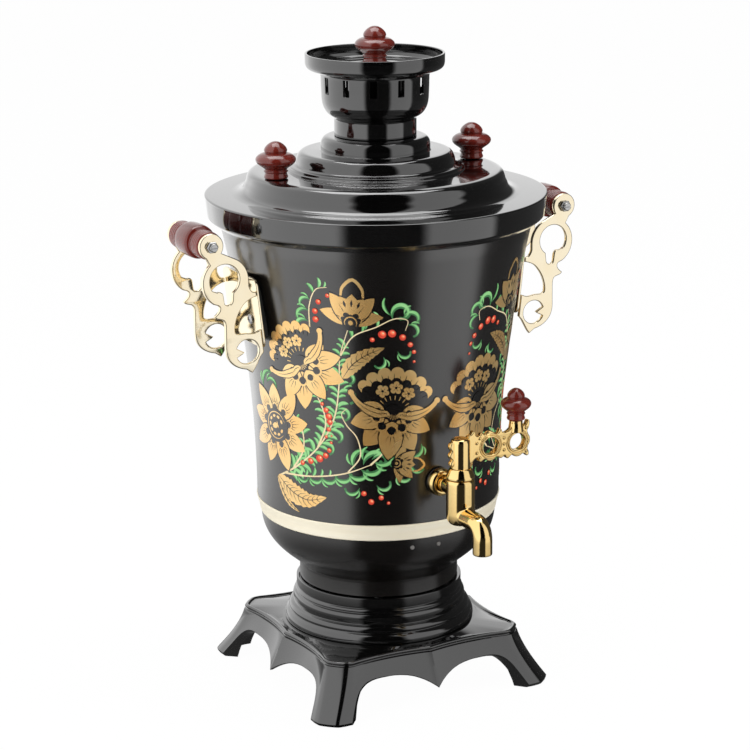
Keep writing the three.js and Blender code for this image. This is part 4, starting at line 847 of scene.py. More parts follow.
def horn(centre, angle, length, curl, width):
    """A long gold comma beside the crest, with a dark edge and seam."""
    path = curl_path(centre, angle, length, curl, 9)
    for layer, margin, tip_margin in (("dark_top", 1.3, 0.6), ("gold_high", 0, 0)):
        widths = [width * share + margin for share in (0.3, 0.9, 1.0, 0.7, 0.55, 0.5)]
        stroke(layer, path, widths, 4)
        dot(layer, path[-1], width * 0.36 + tip_margin, 12)
    stroke("dark_high", path[1:7], [0.1, 0.5, 0.45, 0.1], 3)


def rose(centre, up, size, petals, opening):
    """A large flower: crest with blossoms in it, two horns, petals on the other side."""
    here = Vector(centre)
    fan(here, size * 0.74, size * 1.06, up - opening, up + opening, 7)
    for k in (-1, 0, 1):
        reach = size * (0.55 + 0.03 * (k == 0))
        blossom(here + heading(up + k * opening * 0.5, reach), size * 0.15, up + k * 36)
    for k in range(-3, 4):
        ray("gold", here + heading(up + k * 17, size * 0.3), up + k * 17, size * 0.1, [0.35, 0.7])
    for k, (angle, length, width) in enumerate(petals):
        foot = here + heading(up + angle, size * 0.2)
        petal(foot, up + angle, size * length, size * width, over=k % 2 == 1)
    dot("dark_top", here, size * 0.2)
    for way in (1, -1):
        for place_on, reach, aim, length, curl, width in (
            (118, 0.13, 92, 0.98, -58, 0.19), (130, 0.1, 62, 0.34, 70, 0.13),
        ):
            root = here + heading(up + way * place_on, size * reach)
            horn(root, up + way * aim, size * length, way * curl, size * width)
    for k in range(-2, 3):
        foot = here + heading(up + 180 + k * 20, size * 0.05)
        ray("gold_high", foot, up + 180 + k * 22, size * 0.11, [0.2, 0.6])


def daisy(centre, size, angles):
    """A flower seen from above, with pointed petals round a banded heart."""
    here = Vector(centre)
    for k, angle in enumerate(angles):
        foot, length = here + heading(angle, size * 0.24), size * (0.78 if k % 2 else 0.7)
        petal(foot, angle, length, size * 0.4, rays=5, over=k % 2 == 1)
    dot("dark_top", here, size * 0.38, 24)
    ring = [here + heading(a, size * 0.3) for a in range(20, 330, 30)]
    stroke("gold_high", ring, [0.2, 0.7, 0.8, 0.8, 0.7, 0.2], 4)
    for k in range(9):
        angle = 30 + 300 * k / 8
        dot("gold_high", here + heading(angle, size * 0.21), size * 0.033, 8, 1.5, angle)
    for way in (1, -1):
        path = curl_path(here + heading(200, size * 0.12), 20 + way * 40, size * 0.26, -way * 130)
        stroke("gold_high", path, [size * 0.05, size * 0.07, 0.2], 3)


def tulip(centre, up, size):
    """A small open flower: three crown points, two pairs of side petals and a round heart."""
    here = Vector(centre)

    def spot(angle, reach):
        return here + heading(up + angle, size * reach)

    for angle, length, width in ((66, 0.92, 0.4), (-66, 0.92, 0.4), (34, 1.0, 0.46), (-34, 1.0, 0.46)):
        over = abs(angle) < 50
        petal(here, up + angle, size * length, size * width, rays=1, hook=angle * 0.12, over=over)
    half = ((120, 0.2), (40, 0.66), (24, 0.8), (12, 0.7), (0, 0.84))
    points = [*half, *((-angle, reach) for angle, reach in half[-2::-1])]
    art["gold_over"].append([tuple(spot(*point)) for point in points])
    arch = [spot(*point) for point in ((-22, 0.82), (-15, 1.04), (0, 1.26), (15, 1.04), (22, 0.82))]
    stroke("gold", arch, [size * width for width in (0.06, 0.085, 0.1, 0.085, 0.06)], 4)
    for angle in (-20, 0, 20):
        foot = spot(angle, 0.46)
        path = [foot, foot + heading(up + angle, size * 0.1), foot + heading(up + angle, size * 0.22)]
        stroke("dark", path, [0.15, size * 0.075, 0.1], 3)
    dot("dark_top", here, size * 0.24, 16)
    stroke("gold_high", [spot(a, 0.17) for a in range(-120, 121, 30)], [0.2, 0.8, 0.9, 0.8, 0.2], 3)
    dot("gold_high", here, size * 0.07, 10)


def leaf(points, width, teeth):
    """A serrated leaf along a line, with a dark rib and veins."""
    line = [Vector(p) for p in smoothed(points, 12)]
    left, right, ribs = [], [], []
    for i, (point, along, across) in enumerate(followed(line)):
        share = i / (len(line) - 1)
        half = width / 2 * math.sin(math.pi * share**0.75) ** 0.8
        left.append(tuple(point + across * half * (1 - 0.24 * ((share * teeth) % 1.0))))
        right.append(tuple(point - across * half * (1 - 0.2 * ((share * teeth + 0.5) % 1.0))))
        if i % max(len(line) // teeth, 1) == 0 and 0.12 < share < 0.85:
            ribs.append((point, along * half, across * half))
    art["gold"].append(left + right[1:-1][::-1])
    stroke("dark", line[::6], [0.15, 0.6, 0.5, 0.1], 4)
    for point, along, across in ribs:
        for way in (1, -1):
            middle = point + along * 0.25 + across * way * 0.35
            tip = point + along * 0.75 + across * way * 0.62
            stroke("dark", [point, middle, tip], [0.45, 0.35, 0.08], 2)


def paint_side():
    """All the shapes on one side of the tap."""
    trunk = [(-50, 166), (-33, 176), (-14, 193), (-1, 215), (4, 240), (6, 262), (13, 283)]
    low = [(-44, 169), (-20, 171), (6, 176), (24, 183)]
    curl_up = [(8, 177), (17, 189), (15, 203), (8, 212), (5, 220), (9, 224)]
    to_rose = [(-14, 193), (-7, 212), (-12, 230), (-23, 245)]
    to_daisy = [(-36, 174), (-26, 190), (-27, 206), (-36, 215), (-44, 211)]
    to_round = [(24, 183), (33, 192), (40, 206)]
    crest = [(6, 262), (16, 277), (32, 284), (46, 290), (54, 288), (52, 281)]
    left_berry = [(-15, 282), (-14, 298), (-8, 310), (0, 312)]
    for line in (trunk, low, to_rose, to_daisy, to_round):
        stem(line)
    for line in (curl_up, crest, left_berry):
        stem(line, 0.8)
    spray(trunk, 0.1, 0.88, 10)
    spray(low, 0.12, 0.5, 8, (1,))
    spray(to_rose, 0.2, 0.7, 8)
    spray(to_daisy, 0.15, 0.7, 8)
    spray(crest, 0.08, 0.4, 8, (1,))
    spray(left_berry, 0.55, 0.9, 8, (1,))
    # root, direction, length, curl and width of each scroll
    for x, y, angle, length, curl, width in (
        (44, 289, 112, 27, -215, 3.8), (34, 285, 100, 17, 150, 3.2), (51, 290, 62, 17, -150, 3.0),
        (25, 281, 92, 12, 130, 2.4), (54, 285, 8, 13, -120, 2.4), (36, 262, -60, 12, -120, 2.2),
        (46, 266, -80, 12, 120, 2.2), (6, 247, 52, 14, -150, 2.8), (5, 235, 40, 16, -140, 3.0),
        (1, 222, 38, 15, -140, 2.8), (-4, 206, 30, 14, -130, 2.6), (-10, 197, 20, 13, -120, 2.4),
        (3, 240, 128, 12, 120, 2.2), (-30, 178, 100, 12, -90, 2.2), (13, 180, 118, 19, -105, 3.4),
        (19, 183, 82, 22, -120, 3.8), (25, 187, 50, 18, -110, 3.2), (8, 177, -58, 17, 105, 3.2),
        (17, 180, -48, 19, 110, 3.6), (26, 186, -42, 18, 110, 3.4), (32, 195, -34, 14, 110, 2.8),
        (-2, 174, -58, 15, 105, 3.0), (-12, 172, -60, 14, 105, 2.8), (-22, 171, -62, 13, 105, 2.6),
        (-32, 170, -66, 11, 100, 2.2), (42, 176, -80, 14, 120, 2.6), (60, 197, -70, 14, -110, 2.6),
        (53, 184, -105, 13, 110, 2.4), (28, 168, -60, 13, 120, 2.4), (16, 166, -105, 13, -110, 2.4),
        (-66, 229, 100, 18, -80, 3.2), (-61, 233, 62, 14, -110, 2.6), (-16, 286, 150, 15, 125, 2.8),
        (-15, 294, 155, 15, 120, 2.8), (-13, 302, 145, 13, 125, 2.4),
    ):
        scroll((x, y), angle, length, curl, width)
    # angle, length and width of each petal
    left_petals = (
        (-88, 0.6, 0.36), (-114, 0.84, 0.46), (-146, 0.92, 0.5), (178, 0.8, 0.44),
        (144, 0.92, 0.5), (114, 0.82, 0.46), (88, 0.56, 0.34),
    )
    right_petals = (
        (-86, 0.58, 0.36), (-112, 0.72, 0.44), (-146, 0.78, 0.5), (180, 0.88, 0.52),
        (146, 0.8, 0.5), (112, 0.76, 0.46), (86, 0.58, 0.36),
    )
    rose((-24, 254), 128, 30, left_petals, 58)
    rose((41, 221), 82, 32, right_petals, 62)
    tulip((15, 287), 84, 25)
    daisy((-52, 203), 33, (12, 52, 92, 128, 168, 212, 250, 290, 332))
    tulip((42, 184), -8, 16)
    leaf([(7, 246), (14, 256), (25, 264), (37, 269)], 12, 9)
    leaf([(-52, 166), (-40, 158), (-24, 153), (-8, 157)], 16, 11)
    leaf([(-53, 165), (-47, 155), (-40, 147), (-31, 142.5)], 5, 7)
    berries([(-10, 288), (-10, 294), (-7, 301), (0, 306)], (2.3, 2.1, 1.9, 1.5))
    string = [(29, 275), (37, 279), (46, 278.5), (53, 273), (57, 266), (57, 258)]
    berries(string, (1.7, 2.8, 2.8, 2.3, 1.9, 1.5, 1.0))
    berries([(-9, 226), (-5, 219), (-4, 211), (-7, 202)], (1.4, 2.0, 2.5, 2.2, 1.7, 1.2))
    string = [(-27, 180), (-16, 184), (-8, 188), (-4, 195), (-3, 203)]
    berries(string, (1.9, 2.3, 2.8, 2.2, 1.7, 1.1, 0.8))
    berries([(19, 162), (24, 156), (31, 159), (36, 155)], (1.9, 2.1, 1.8, 1.2))


def laid(outlines, lift, sign):
    """Flat outlines cut into strips and wrapped round the casing, on one side of the tap or the other."""
    made = bmesh.new()
    for outline in outlines:
        line = spaced(outline, 0.05)
        if len(line) < 3:
            continue
        corners = [made.verts.new((x, y, 0)) for x, y in line]
        for triangle in tessellate_polygon([[corner.co for corner in corners]]):
            if len(set(triangle)) == 3:
                made.faces.new([corners[i] for i in triangle])
    cuts = [((STRIP * k, 0, 0), (1, 0, 0)) for k in range(-24, 20)]
    cuts += [((0, STEP * k, 0), (0, 1, 0)) for k in range(10, 27)]
    for spot, across in cuts:
        parts = made.verts[:] + made.edges[:] + made.faces[:]
        bmesh.ops.bisect_plane(made, geom=parts, plane_co=spot, plane_no=across, dist=1e-4)
    for vert in made.verts:
        x, height = vert.co.x, vert.co.y
        radius = casing_radius(height)
        angle = math.radians(sign * PRINT_MIDDLE - 90) - sign * x / radius
        reach = radius + lift
        vert.co = Vector((reach * math.cos(angle), reach * math.sin(angle), height)) * MM
    made.normal_update()
    for face in made.faces:
        middle = face.calc_center_median()
        if face.normal.dot(Vector((middle.x, middle.y, 0))) < 0:
            face.normal_flip()
    mesh = bpy.data.meshes.new("laid")
    made.to_mesh(mesh)
    made.free()
    return shade(mesh, 0)


paint_side()
for layer, (lift, paint) in LAYERS.items():
    for side, sign in SIDES:
        place(f"painted_{layer}_{side}", laid(art[layer], lift, sign), paint, "samovar")


# Lid

lid_line = [
    (112.6, 338.2), (113.4, 338.8), (115.0, 339.9), (118.6, 342.7), (119.6, 343.7), (120.2, 349),
    (121.1, 357.4), (121.4, 358.6), (120.2, 359.1), (101.5, 359.3), (98.0, 360.0), (95.4, 361.4),
    (93.8, 363.6), (93.0, 366.0), (91.9, 368.2), (91.2, 371.0), (90.2, 373.2), (87.8, 374.7),
    (84.5, 375.1), (63.2, 375.1), (62.9, 376.2), (61.6, 376.7), (61.2, 377.2), (60.9, 378.3),
    (59.4, 378.7), (57.8, 379.0), (56.5, 380.0), (56.0, 383.4), (54.6, 386.6), (52.6, 388.2),
    (50.4, 388.5), (39.2, 388.5), (38.8, 389.2), (38.8, 393.2), (38.2, 396.0), (36.4, 398.2),
    (34.2, 399.0), (28.0, 399.1), (26.8, 398.6), (26.8, 397.6), (33.4, 397.3), (36.4, 395.0),
    (37.1, 392.0), (37.1, 386.9), (51.0, 386.8), (53.6, 384.8), (54.6, 380.2), (55.5, 378.0),
    (58.9, 376.9), (59.6, 373.4), (84.6, 373.4), (88.4, 372.0), (89.9, 367.6), (91.4, 365.0),
    (92.6, 361.6), (95.6, 358.6), (100.4, 357.6), (118.6, 357.4), (119.4, 356.8), (118.0, 345.0),
    (114.0, 341.6), (112.2, 339.4),
]
lid_radii = [
    0.3, 0.5, 2, 1.5, 0.8, 2, 0.9, 0.8, 0.9, 2, 1.5, 1.5, 1.5, 1.5, 1.3, 1.5, 1.5, 1.5, 1.5, 0.25,
    0.6, 0.25, 0.25, 0.5, 0.5, 0.8, 0.8, 1.5, 1.5, 1.2, 1, 0.2, 0.5, 1.5, 1.5, 1.5, 1.2, 1, 0.5, 0.4,
]
lid_radii += [0.8] * (len(lid_line) - len(lid_radii))
lid = turned(lid_line, lid_radii, closed=True, steps=180, sharp=60, soft=4)
place("lid_cover", lid, lacquer, "lid", "lid")


# Turned knobs

LID_KNOB = (14.1, 25.8)  # radius and height
KNOB_X = 78.4  # how far the lid's knobs stand from the axis
KNOB = [  # the outline, as shares of radius and height
    (0.50, 0), (0.575, 0.012), (0.60, 0.05), (0.565, 0.10), (0.55, 0.13), (0.55, 0.17), (0.60, 0.185),
    (0.60, 0.215), (0.55, 0.23), (0.57, 0.26), (0.68, 0.31), (0.86, 0.38), (0.96, 0.44), (1.0, 0.50),
    (0.98, 0.555), (0.90, 0.61), (0.76, 0.66), (0.60, 0.69), (0.54, 0.705), (0.56, 0.73), (0.575, 0.76),
    (0.54, 0.82), (0.44, 0.89), (0.30, 0.95), (0.14, 0.99), (0, 1.0),
]


def knob(name, radius, height, at, body, replaced):
    line = smoothed([(radius * r, height * h) for r, h in KNOB], 3)
    mesh = turned([(0, 0), *line], steps=56, sharp=55, at=at)
    place(name, mesh, wood_red, body, replaced)


for side, sign in SIDES:
    knob("knob_" + side, *LID_KNOB, (sign * KNOB_X, 0, 375.4), "lid", "lid_knob_" + side)


# Crown with its slots, chimney tube and cap

SLOTS = 12  # in the crown

crown_line = [
    (29.1, 399.4), (29.1, 411.0), (30.2, 412.6), (32.2, 413.8), (33.8, 415.1), (35.2, 416.9),
    (36.6, 419.6), (37.4, 422.4), (37.8, 425.6), (38.1, 433), (38.3, 441), (38.9, 443.4), (40.6, 444.4),
    (44.2, 445.1), (47.2, 446.3), (48.7, 448.0), (49.2, 450.4), (49.2, 457.0), (47.5, 457.0),
    (47.5, 450.4), (46.6, 448.4), (44.0, 446.9), (39.6, 446.0), (36.9, 444.0), (36.6, 441.0),
    (36.3, 433), (36.0, 425), (34.6, 420.0), (31.8, 416.0), (28.4, 413.4), (27.4, 411.4), (27.4, 401.2),
    (21.4, 401.2), (21.4, 392.4), (26.4, 392.4), (26.4, 399.4),
]
crown_radii = [0.4, 1.5, *[1] * 9, 1.2, 1.2, 1.5, 1.5, 1.2, 1.5, 0.5, 0.5, *[0.8] * 17]


def slots():
    outline = rounded([(-2.5, 430.2), (2.5, 430.2), (2.5, 442.0), (-2.5, 442.0)], 0.5, 3, closed=True)
    count = len(outline)
    rows = [range(count), range(count, 2 * count)]
    faces = grid(rows) + [tuple(rows[0])[::-1], tuple(rows[1])]
    slot = [(x, y, z) for x in (30, 44) for y, z in outline], faces
    return mesh_of(joined(*(moved(slot, way=turn(360 / SLOTS * k, "Z")) for k in range(SLOTS))))


crown = shade(minus(turned(crown_line, crown_radii, closed=True, sharp=60, soft=4), slots()), 45)
place("crown_stand", crown, lacquer, "crown", "crown")

chimney_line = [
    (19.6, 392.4), (21.0, 392.4), (21.0, 401.5), (25.6, 401.5), (25.6, 403.0), (22.0, 403.0),
    (21.0, 404.0), (21.0, 446.5), (19.6, 446.5),
]
chimney = turned(chimney_line, 0.3, closed=True, steps=96, soft=3)
place("chimney", chimney, lacquer, "crown", "chimney_tube")

cap_line = [
    (0, 449.4), (11.0, 449.4), (14.0, 449.2), (19.0, 448.2), (21.2, 447.4), (21.6, 446.9), (21.2, 446.7),
    (18.9, 446.7), (18.9, 439.8), (17.5, 439.8), (17.5, 446.4), (12.0, 447.6), (2.4, 448.0), (0, 448.0),
]
cap = turned(cap_line, [0.35] * 12 + [0, 0], steps=96, sharp=50, soft=4)
place("cap_plate", cap, bright, "cap", "cap")
knob("cap_button", *LID_KNOB, (0, 0, 449.7), "cap", "cap_knob")


# Tap: barrel, pipe and spout in one casting, with flange, bonnet and key

TAP = Vector((0, -119.5, 168))
INWARDS = turn(-90, "X")  # lays an upright piece down, with its top towards the back
FIRST, SECOND, RING_HEIGHT = 22.8, 44.2, 30.3  # the middles of the lever's two rings


def spout_path(fall):
    """The spout's middle line: forwards under the barrel, round the bend, then down."""
    bend, reach, drop = 10.5, 29.8, 16
    start, corner = Vector((0, bend - reach, -drop)), Vector((0, -reach, -drop))
    end, mouth = Vector((0, -reach, -drop - bend)), Vector((0, -reach, -drop - fall))
    path = [Vector((0, -reach * 0.05 * i, -drop)) for i in range(7)]
    path += [conic(start, corner, end, i / 14) for i in range(15)]
    return path + [end.lerp(mouth, i / 4) for i in range(1, 5)]


def tap_casting():
    dome = smoothed([(0, -23.4), (4.5, -23.2), (7.6, -21.9), (9.4, -19.4), (10, -15.6)], 4)
    barrel = turned([*dome, (10, 8.6), (9.6, 9.8), (8.8, 10), (0, 10)], steps=72)
    path = spout_path(20.4)
    spout = mesh_of(tube(path, [6.4 + 0.4 * min(i / 8, 1) for i in range(len(path))], 48))
    pipe = turned([(0, 0), (5.4, 0), (5.4, 44), (0, 44)], steps=48, way=INWARDS)
    holder = linked("casting", combined(combined(barrel, spout, "UNION"), pipe, "UNION"))
    remesh = holder.modifiers.new("remesh", "REMESH")
    remesh.mode, remesh.voxel_size, remesh.use_smooth_shade = "VOXEL", 0.55 * MM, True
    smooth = holder.modifiers.new("smooth", "SMOOTH")
    smooth.factor, smooth.iterations = 0.5, 14
    water = mesh_of(tube(spout_path(24)[7:], 4.3, 40))
    return transformed(shade(minus(evaluated(holder), water), 50), shift(*TAP))


place("tap_casting", tap_casting(), gold, "samovar", "tap_body")

wall = -TAP.y - casing_radius(TAP.z + 10)
flange_line = [
    (5.8, wall - 7.6), (7.4, wall - 7.9), (9.0, wall - 6.8), (9.8, wall - 4.8), (10, wall - 2.6),
    (10, wall - 1.6), (5.8, wall - 1.6),
]
flange = turned(flange_line, 0.5, closed=True, steps=72, at=TAP, way=INWARDS, soft=4)
place("tap_rose", flange, gold, "samovar", "tap_flange")

seal_line = [(5.8, wall - 1.3), (9.6, wall - 1.3), (9.6, wall - 0.3), (5.8, wall - 0.3)]
seal = turned(seal_line, 0.2, closed=True, steps=60, at=TAP, way=INWARDS, soft=3)
place("tap_seal", seal, rubber, "samovar", "tap_gasket")

bonnet_line = [
    (7.1, 10.3), (9.7, 10.3), (10, 10.6), (10, 12.2), (9.7, 12.9), (8.0, 16.9), (7.5, 17.6), (7.1, 17.7),
]
bonnet = turned(bonnet_line, 0.25, closed=True, steps=72, at=TAP, soft=3)
place("tap_collar", bonnet, gold, "samovar", "tap_bonnet")

# The lever is a scalloped openwork plate with two rings, points along the top and an upright end
lever_line = [
    (5.0, 39.4), (7.6, 40.6), (9.4, 42.6), (10.6, 42.2), (10.8, 40.2), (12.4, 38.6), (14.4, 38.8),
    (15.4, 40.4), (17.0, 40.0), (18.2, 38.9), (20.0, 39.6), (22.2, 40.9), (24.4, 40.5), (26.4, 39.2),
    (28.4, 38.4), (29.6, 39.6), (30.6, 41.4), (31.8, 40.8), (32.6, 38.9), (34.4, 38.2), (36.4, 38.6),
    (38.4, 40.0), (40.0, 41.4), (40.6, 43.6), (41.2, 44.8), (47.2, 44.8), (47.8, 43.2), (49.0, 41.4),
    (50.4, 41.0), (51.6, 42.4), (52.6, 44.4), (54.0, 44.6), (54.4, 42.4), (53.8, 39.4), (52.6, 37.2),
    (53.4, 34.6), (54.6, 32.4), (54.6, 28.6), (53.4, 26.4), (52.8, 24.2), (53.8, 21.8), (53.6, 19.6),
    (52.0, 19.0), (50.6, 20.4), (49.0, 20.9), (47.0, 19.9), (44.6, 19.4), (42.2, 20.0), (40.2, 21.2),
    (38.6, 20.2), (37.0, 19.2), (35.2, 20.0), (34.2, 21.8), (32.6, 20.6), (31.0, 20.2), (29.4, 21.2),
    (27.6, 21.6), (25.4, 20.0), (22.8, 19.4), (20.4, 20.0), (18.6, 21.4), (16.8, 20.6), (15.0, 19.8),
    (13.2, 21.0), (12.4, 23.0), (10.8, 22.8), (9.0, 21.2), (7.4, 20.0), (5.0, 20.4),
]
tail_line = [
    (-5.0, 20.6), (-7.2, 19.6), (-8.8, 20.6), (-8.6, 22.8), (-7.4, 24.2), (-8.8, 25.6), (-9.4, 27.6),
    (-8.6, 29.4), (-7.6, 30.4), (-8.8, 32.0), (-9.2, 34.2), (-8.2, 36.4), (-6.4, 37.0), (-5.0, 36.4),
]
lever_beads = [
    (11.6, 33.8), (11.6, 26.8), (33.5, 34.6), (33.5, 26.0), (33.5, 30.3), (52.3, 30.3), (14.0, 37.0),
    (14.0, 23.2), (51.4, 22.6), (51.2, 39.4),
]


def tap_key():
    holes = [circle((x, RING_HEIGHT), 6.1, 48) for x in (FIRST, SECOND)]
    lever = transformed(plate(smoothed(lever_line, 4), holes, 4.4, 0.9), UPRIGHT)
    tail = transformed(plate(smoothed(tail_line, 4), [], 4.0, 0.9), UPRIGHT)
    plug_line = [(0, 10.3), (6.5, 10.3), (6.7, 10.6), (6.7, 36.4)]
    plug_line += [(6.3, 37.9), (5.2, 38.7), (4.2, 38.8), (0, 38.8)]
    plug = turned(plug_line, 0.4, steps=64)
    stem = turned([(0, -14), (5.5, -14), (5.5, 11), (0, 11)], steps=48)
    boss_line = [(0, 37.4), (5.4, 37.4), (5.2, 40.6), (4.7, 43.6), (4.7, 45.2), (4.3, 45.7), (0, 45.7)]
    boss = turned(boss_line, 0.3, steps=48, at=(SECOND, 0, 0))
    bead = lathe(rounded([(0, -0.2), (1.3, -0.2), (1.25, 0.4), (0.7, 0.95), (0, 1.1)], 0.4), 20)
    relief = []
    for side in (-1, 1):
        for off, radius, thick in ((2.2, 6.9, 0.85), (2.05, 8.6, 0.55)):
            ring = lathe(circle((radius, 0), thick, 12), 64, closed=True)
            relief += [moved(ring, (x, side * off, RING_HEIGHT), INWARDS) for x in (FIRST, SECOND)]
        relief += [moved(bead, (x, side * 2.1, z), turn(-90 * side, "X")) for x, z in lever_beads]
    key = together(lever, tail, plug, stem, boss, mesh_of(joined(*relief)))
    return transformed(shade(key, 45), shift(*TAP))


place("tap_lever", tap_key(), gold, "tap_key", "tap_key")
knob("tap_button", 10.6, 22.4, TAP + Vector((SECOND, 0, 46.0)), "tap_key", "tap_key_knob")


# Handles: two scroll plates, a turned grip, a bolt, a bracket and a pad on each side

GRIP = Vector((141, 0, 338.3))
BRACKET = 287  # height of the bracket's middle
LEAN = 6.6  # degrees that the casing leans there
BRACKET_X = casing_radius(BRACKET) + 3.4  # its back, on the pad
BRACKET_THICK, PLATE_Y, GAP = 1.8, 25.5, 0.3
FORWARDS = turn(90, "X")  # lays an upright piece down, with its top towards the front


def on_scroll(points):
    """Places on a scroll plate from shares of its width and height."""
    return [(GRIP.x - 38 * x, GRIP.z - 94 * z) for x, z in points]


def scroll_outline():
    eye, loop = on_scroll([(0, 0), (0.266, 0.273)])
    spur = [
        (0.097, 0.44), (0.134, 0.452), (0.134, 0.479), (0.085, 0.505), (0.034, 0.523), (0.07, 0.538),
        (0.132, 0.546), (0.2, 0.556), (0.232, 0.578), (0.24, 0.66), (0.237, 0.769),
    ]
    lugs = [
        (0.716, 0.997), (0.80, 0.96), (0.87, 0.91), (0.95, 0.85), (1.06, 0.812), (1.06, 0.66),
        (0.94, 0.66), (0.842, 0.68), (0.73, 0.68), (0.618, 0.672), (0.50, 0.675), (0.432, 0.664),
        (0.425, 0.63), (0.434, 0.598), (0.471, 0.543), (0.55, 0.486), (0.663, 0.435), (0.832, 0.407),
        (0.95, 0.405), (1.06, 0.407), (1.06, 0.372), (0.90, 0.373), (0.795, 0.37), (0.75, 0.346),
        (0.724, 0.32),
    ]
    radii = [2, 3, 5, 5, 0.6, 0.6, 5, 5, 5, 5, 3, 1.5, 1.5, 3, 4, 4, 5, 4, 4, 0.6, 0.6, 4, 2, 2, 2]
    curl = bezier(*on_scroll([(0.237, 0.769), (0.237, 0.897), (0.5, 0.936), (0.645, 0.947)]), 12)
    line = [*arc(eye, 9, 215, -62, 40), *arc(loop, 17.4, 48, -58, 20)]
    line += [*smoothed(on_scroll(spur), 3), *curl[1:], *rounded(on_scroll(lugs), radii, 4)[1:]]
    line += arc(loop, 17.4, 184, 112, 16)
    # the plate ends just off the bracket's face, which leans with the casing
    face, slope = BRACKET_X + BRACKET_THICK + GAP, math.tan(math.radians(LEAN))
    return [(max(x, face + (z - BRACKET) * slope), z) for x, z in line]


def scroll_holes():
    eye, loop, curl = on_scroll([(0, 0), (0.242, 0.2585), (0.671, 0.812)])
    tail = [
        (0.395, 0.36), (0.392, 0.425), (0.35, 0.447), (0.28, 0.447), (0.24, 0.436), (0.211, 0.354),
        (0.15, 0.34), (0.097, 0.343),
    ]
    tail = rounded(on_scroll(tail), [0, 2, 2, 1.5, 1, 1.5, 1, 0], 3)[1:]
    tongue = on_scroll([(0.579, 0.827), (0.61, 0.815)])
    return [circle(eye, 2.6, 24), arc(loop, 11.1, -36, 236, 40) + tail, arc(curl, 8.6, 20, 336, 44) + tongue]


def grip_line():
    half = 23.7
    line = [(0, -half), (8.6, -half), (9.5, -half + 0.6)]
    y = -half + 1.6
    while y < -half + 11.2:
        line += [(9.7, y), (9.75, y + 0.9), (9.2, y + 1.25), (9.7, y + 1.6)]
        y += 2.4
    line += [(9.4, -11.6), (8.9, -10.8), (9.3, -10.2), (10.9, -9.4), (11.6, -8.0), (11.9, -4.5)]
    return [*line, (12.0, 0), *((r, -h) for r, h in line[::-1])]


def hexagon(radius, low, high, chamfer=0.5):
    inner = radius - chamfer
    verts, faces = lathe([(inner, low), (radius, low + chamfer), (radius, high - chamfer), (inner, high)], 6)
    return verts, faces + [(5, 4, 3, 2, 1, 0), (18, 19, 20, 21, 22, 23)]


handle = []  # the right handle's pieces: name, mesh, look, slot and CAD node

scroll = transformed(plate(scroll_outline(), scroll_holes(), 3.0, 0.75), UPRIGHT)
for where, y in (("front", -PLATE_Y), ("rear", PLATE_Y)):
    side_plate = transformed(scroll, shift(y=y))
    handle.append(("scroll_" + where, side_plate, pale_gold, "brass", "handle_plate_" + where))
grip = turned(grip_line(), 0.5, steps=64, sharp=50, at=GRIP, way=INWARDS, soft=2)
handle.append(("handgrip", grip, wood_red, "dark_red", "grip"))

tip = lathe(rounded([(0, 29.6), (3.0, 29.6), (2.9, 31.5), (2.5, 31.9), (0, 31.9)], 0.3), 32)
bolt = mesh_of(moved(joined(hexagon(4.3, 27.3, 29.7), tip), GRIP, FORWARDS))
bolt = minus(bolt, mesh_of(moved(cube((-5, -33, -0.45), (5, -30.7, 0.45)), GRIP)))
handle.append(("bolt", shade(bolt, 35), steel, "steel", "grip_bolt"))
tip = lathe(rounded([(0, 30.2), (2.2, 30.2), (2.0, 31.2), (0, 31.3)], 0.2), 28)
nut = mesh_of(moved(joined(hexagon(4.3, 27.3, 30.3), tip), GRIP, INWARDS), 30)
handle.append(("nut", nut, steel, "steel", "grip_nut"))

lean = shift(BRACKET_X, 0, BRACKET) @ Matrix.Rotation(math.radians(LEAN), 4, "Y")
bracket = plate(box_line(26.7, 25, 6), [], BRACKET_THICK, 0.4, 2)
bracket = transformed(bracket, lean @ ALONG_X @ shift(z=BRACKET_THICK / 2))
handle.append(("bracket_plate", bracket, pale_gold, "brass", "handle_bracket"))
for where, y in (("front", -12), ("rear", 12)):
    head = [(0, 2.1), (3.6, 2.1), (3.5, 3.0), (2.4, 3.8), (0, 4.1)]
    screw = turned(head, 0.4, steps=32, at=(0, y, -6), way=turn(90, "Y"))
    for a, b in ((2.2, 0.4), (0.4, 2.2)):
        screw = minus(screw, mesh_of(cube((3.2, y - a, -6 - b), (5, y + a, -6 + b))))
    screw = transformed(shade(screw, 35), lean)
    handle.append(("screw_" + where, screw, steel, "steel", "handle_screw_" + where))
pad = transformed(plate(box_line(20, 21, 5.7), [], 13.3, 0.3, 2), lean @ ALONG_X @ shift(z=-6.95))
casing_form = [(0, 250), *((casing_radius(z) + GAP, z) for z in range(250, 328, 3)), (0, 325)]
pad = shade(minus(pad, turned(casing_form)), 35)
handle.append(("pad", pad, rubber, "rubber", "handle_pad"))

for side, sign in SIDES:
    for name, mesh, look, slot, replaced in handle:
        mesh = transformed(mesh, Matrix.Scale(sign, 4, (1, 0, 0)))
        place(side + "_" + name, mesh, look, "samovar", side + "_" + replaced)


# Power inlet with its pins, and the rocker switch

INLET_X, SWITCH_X = -11.4, 14.2

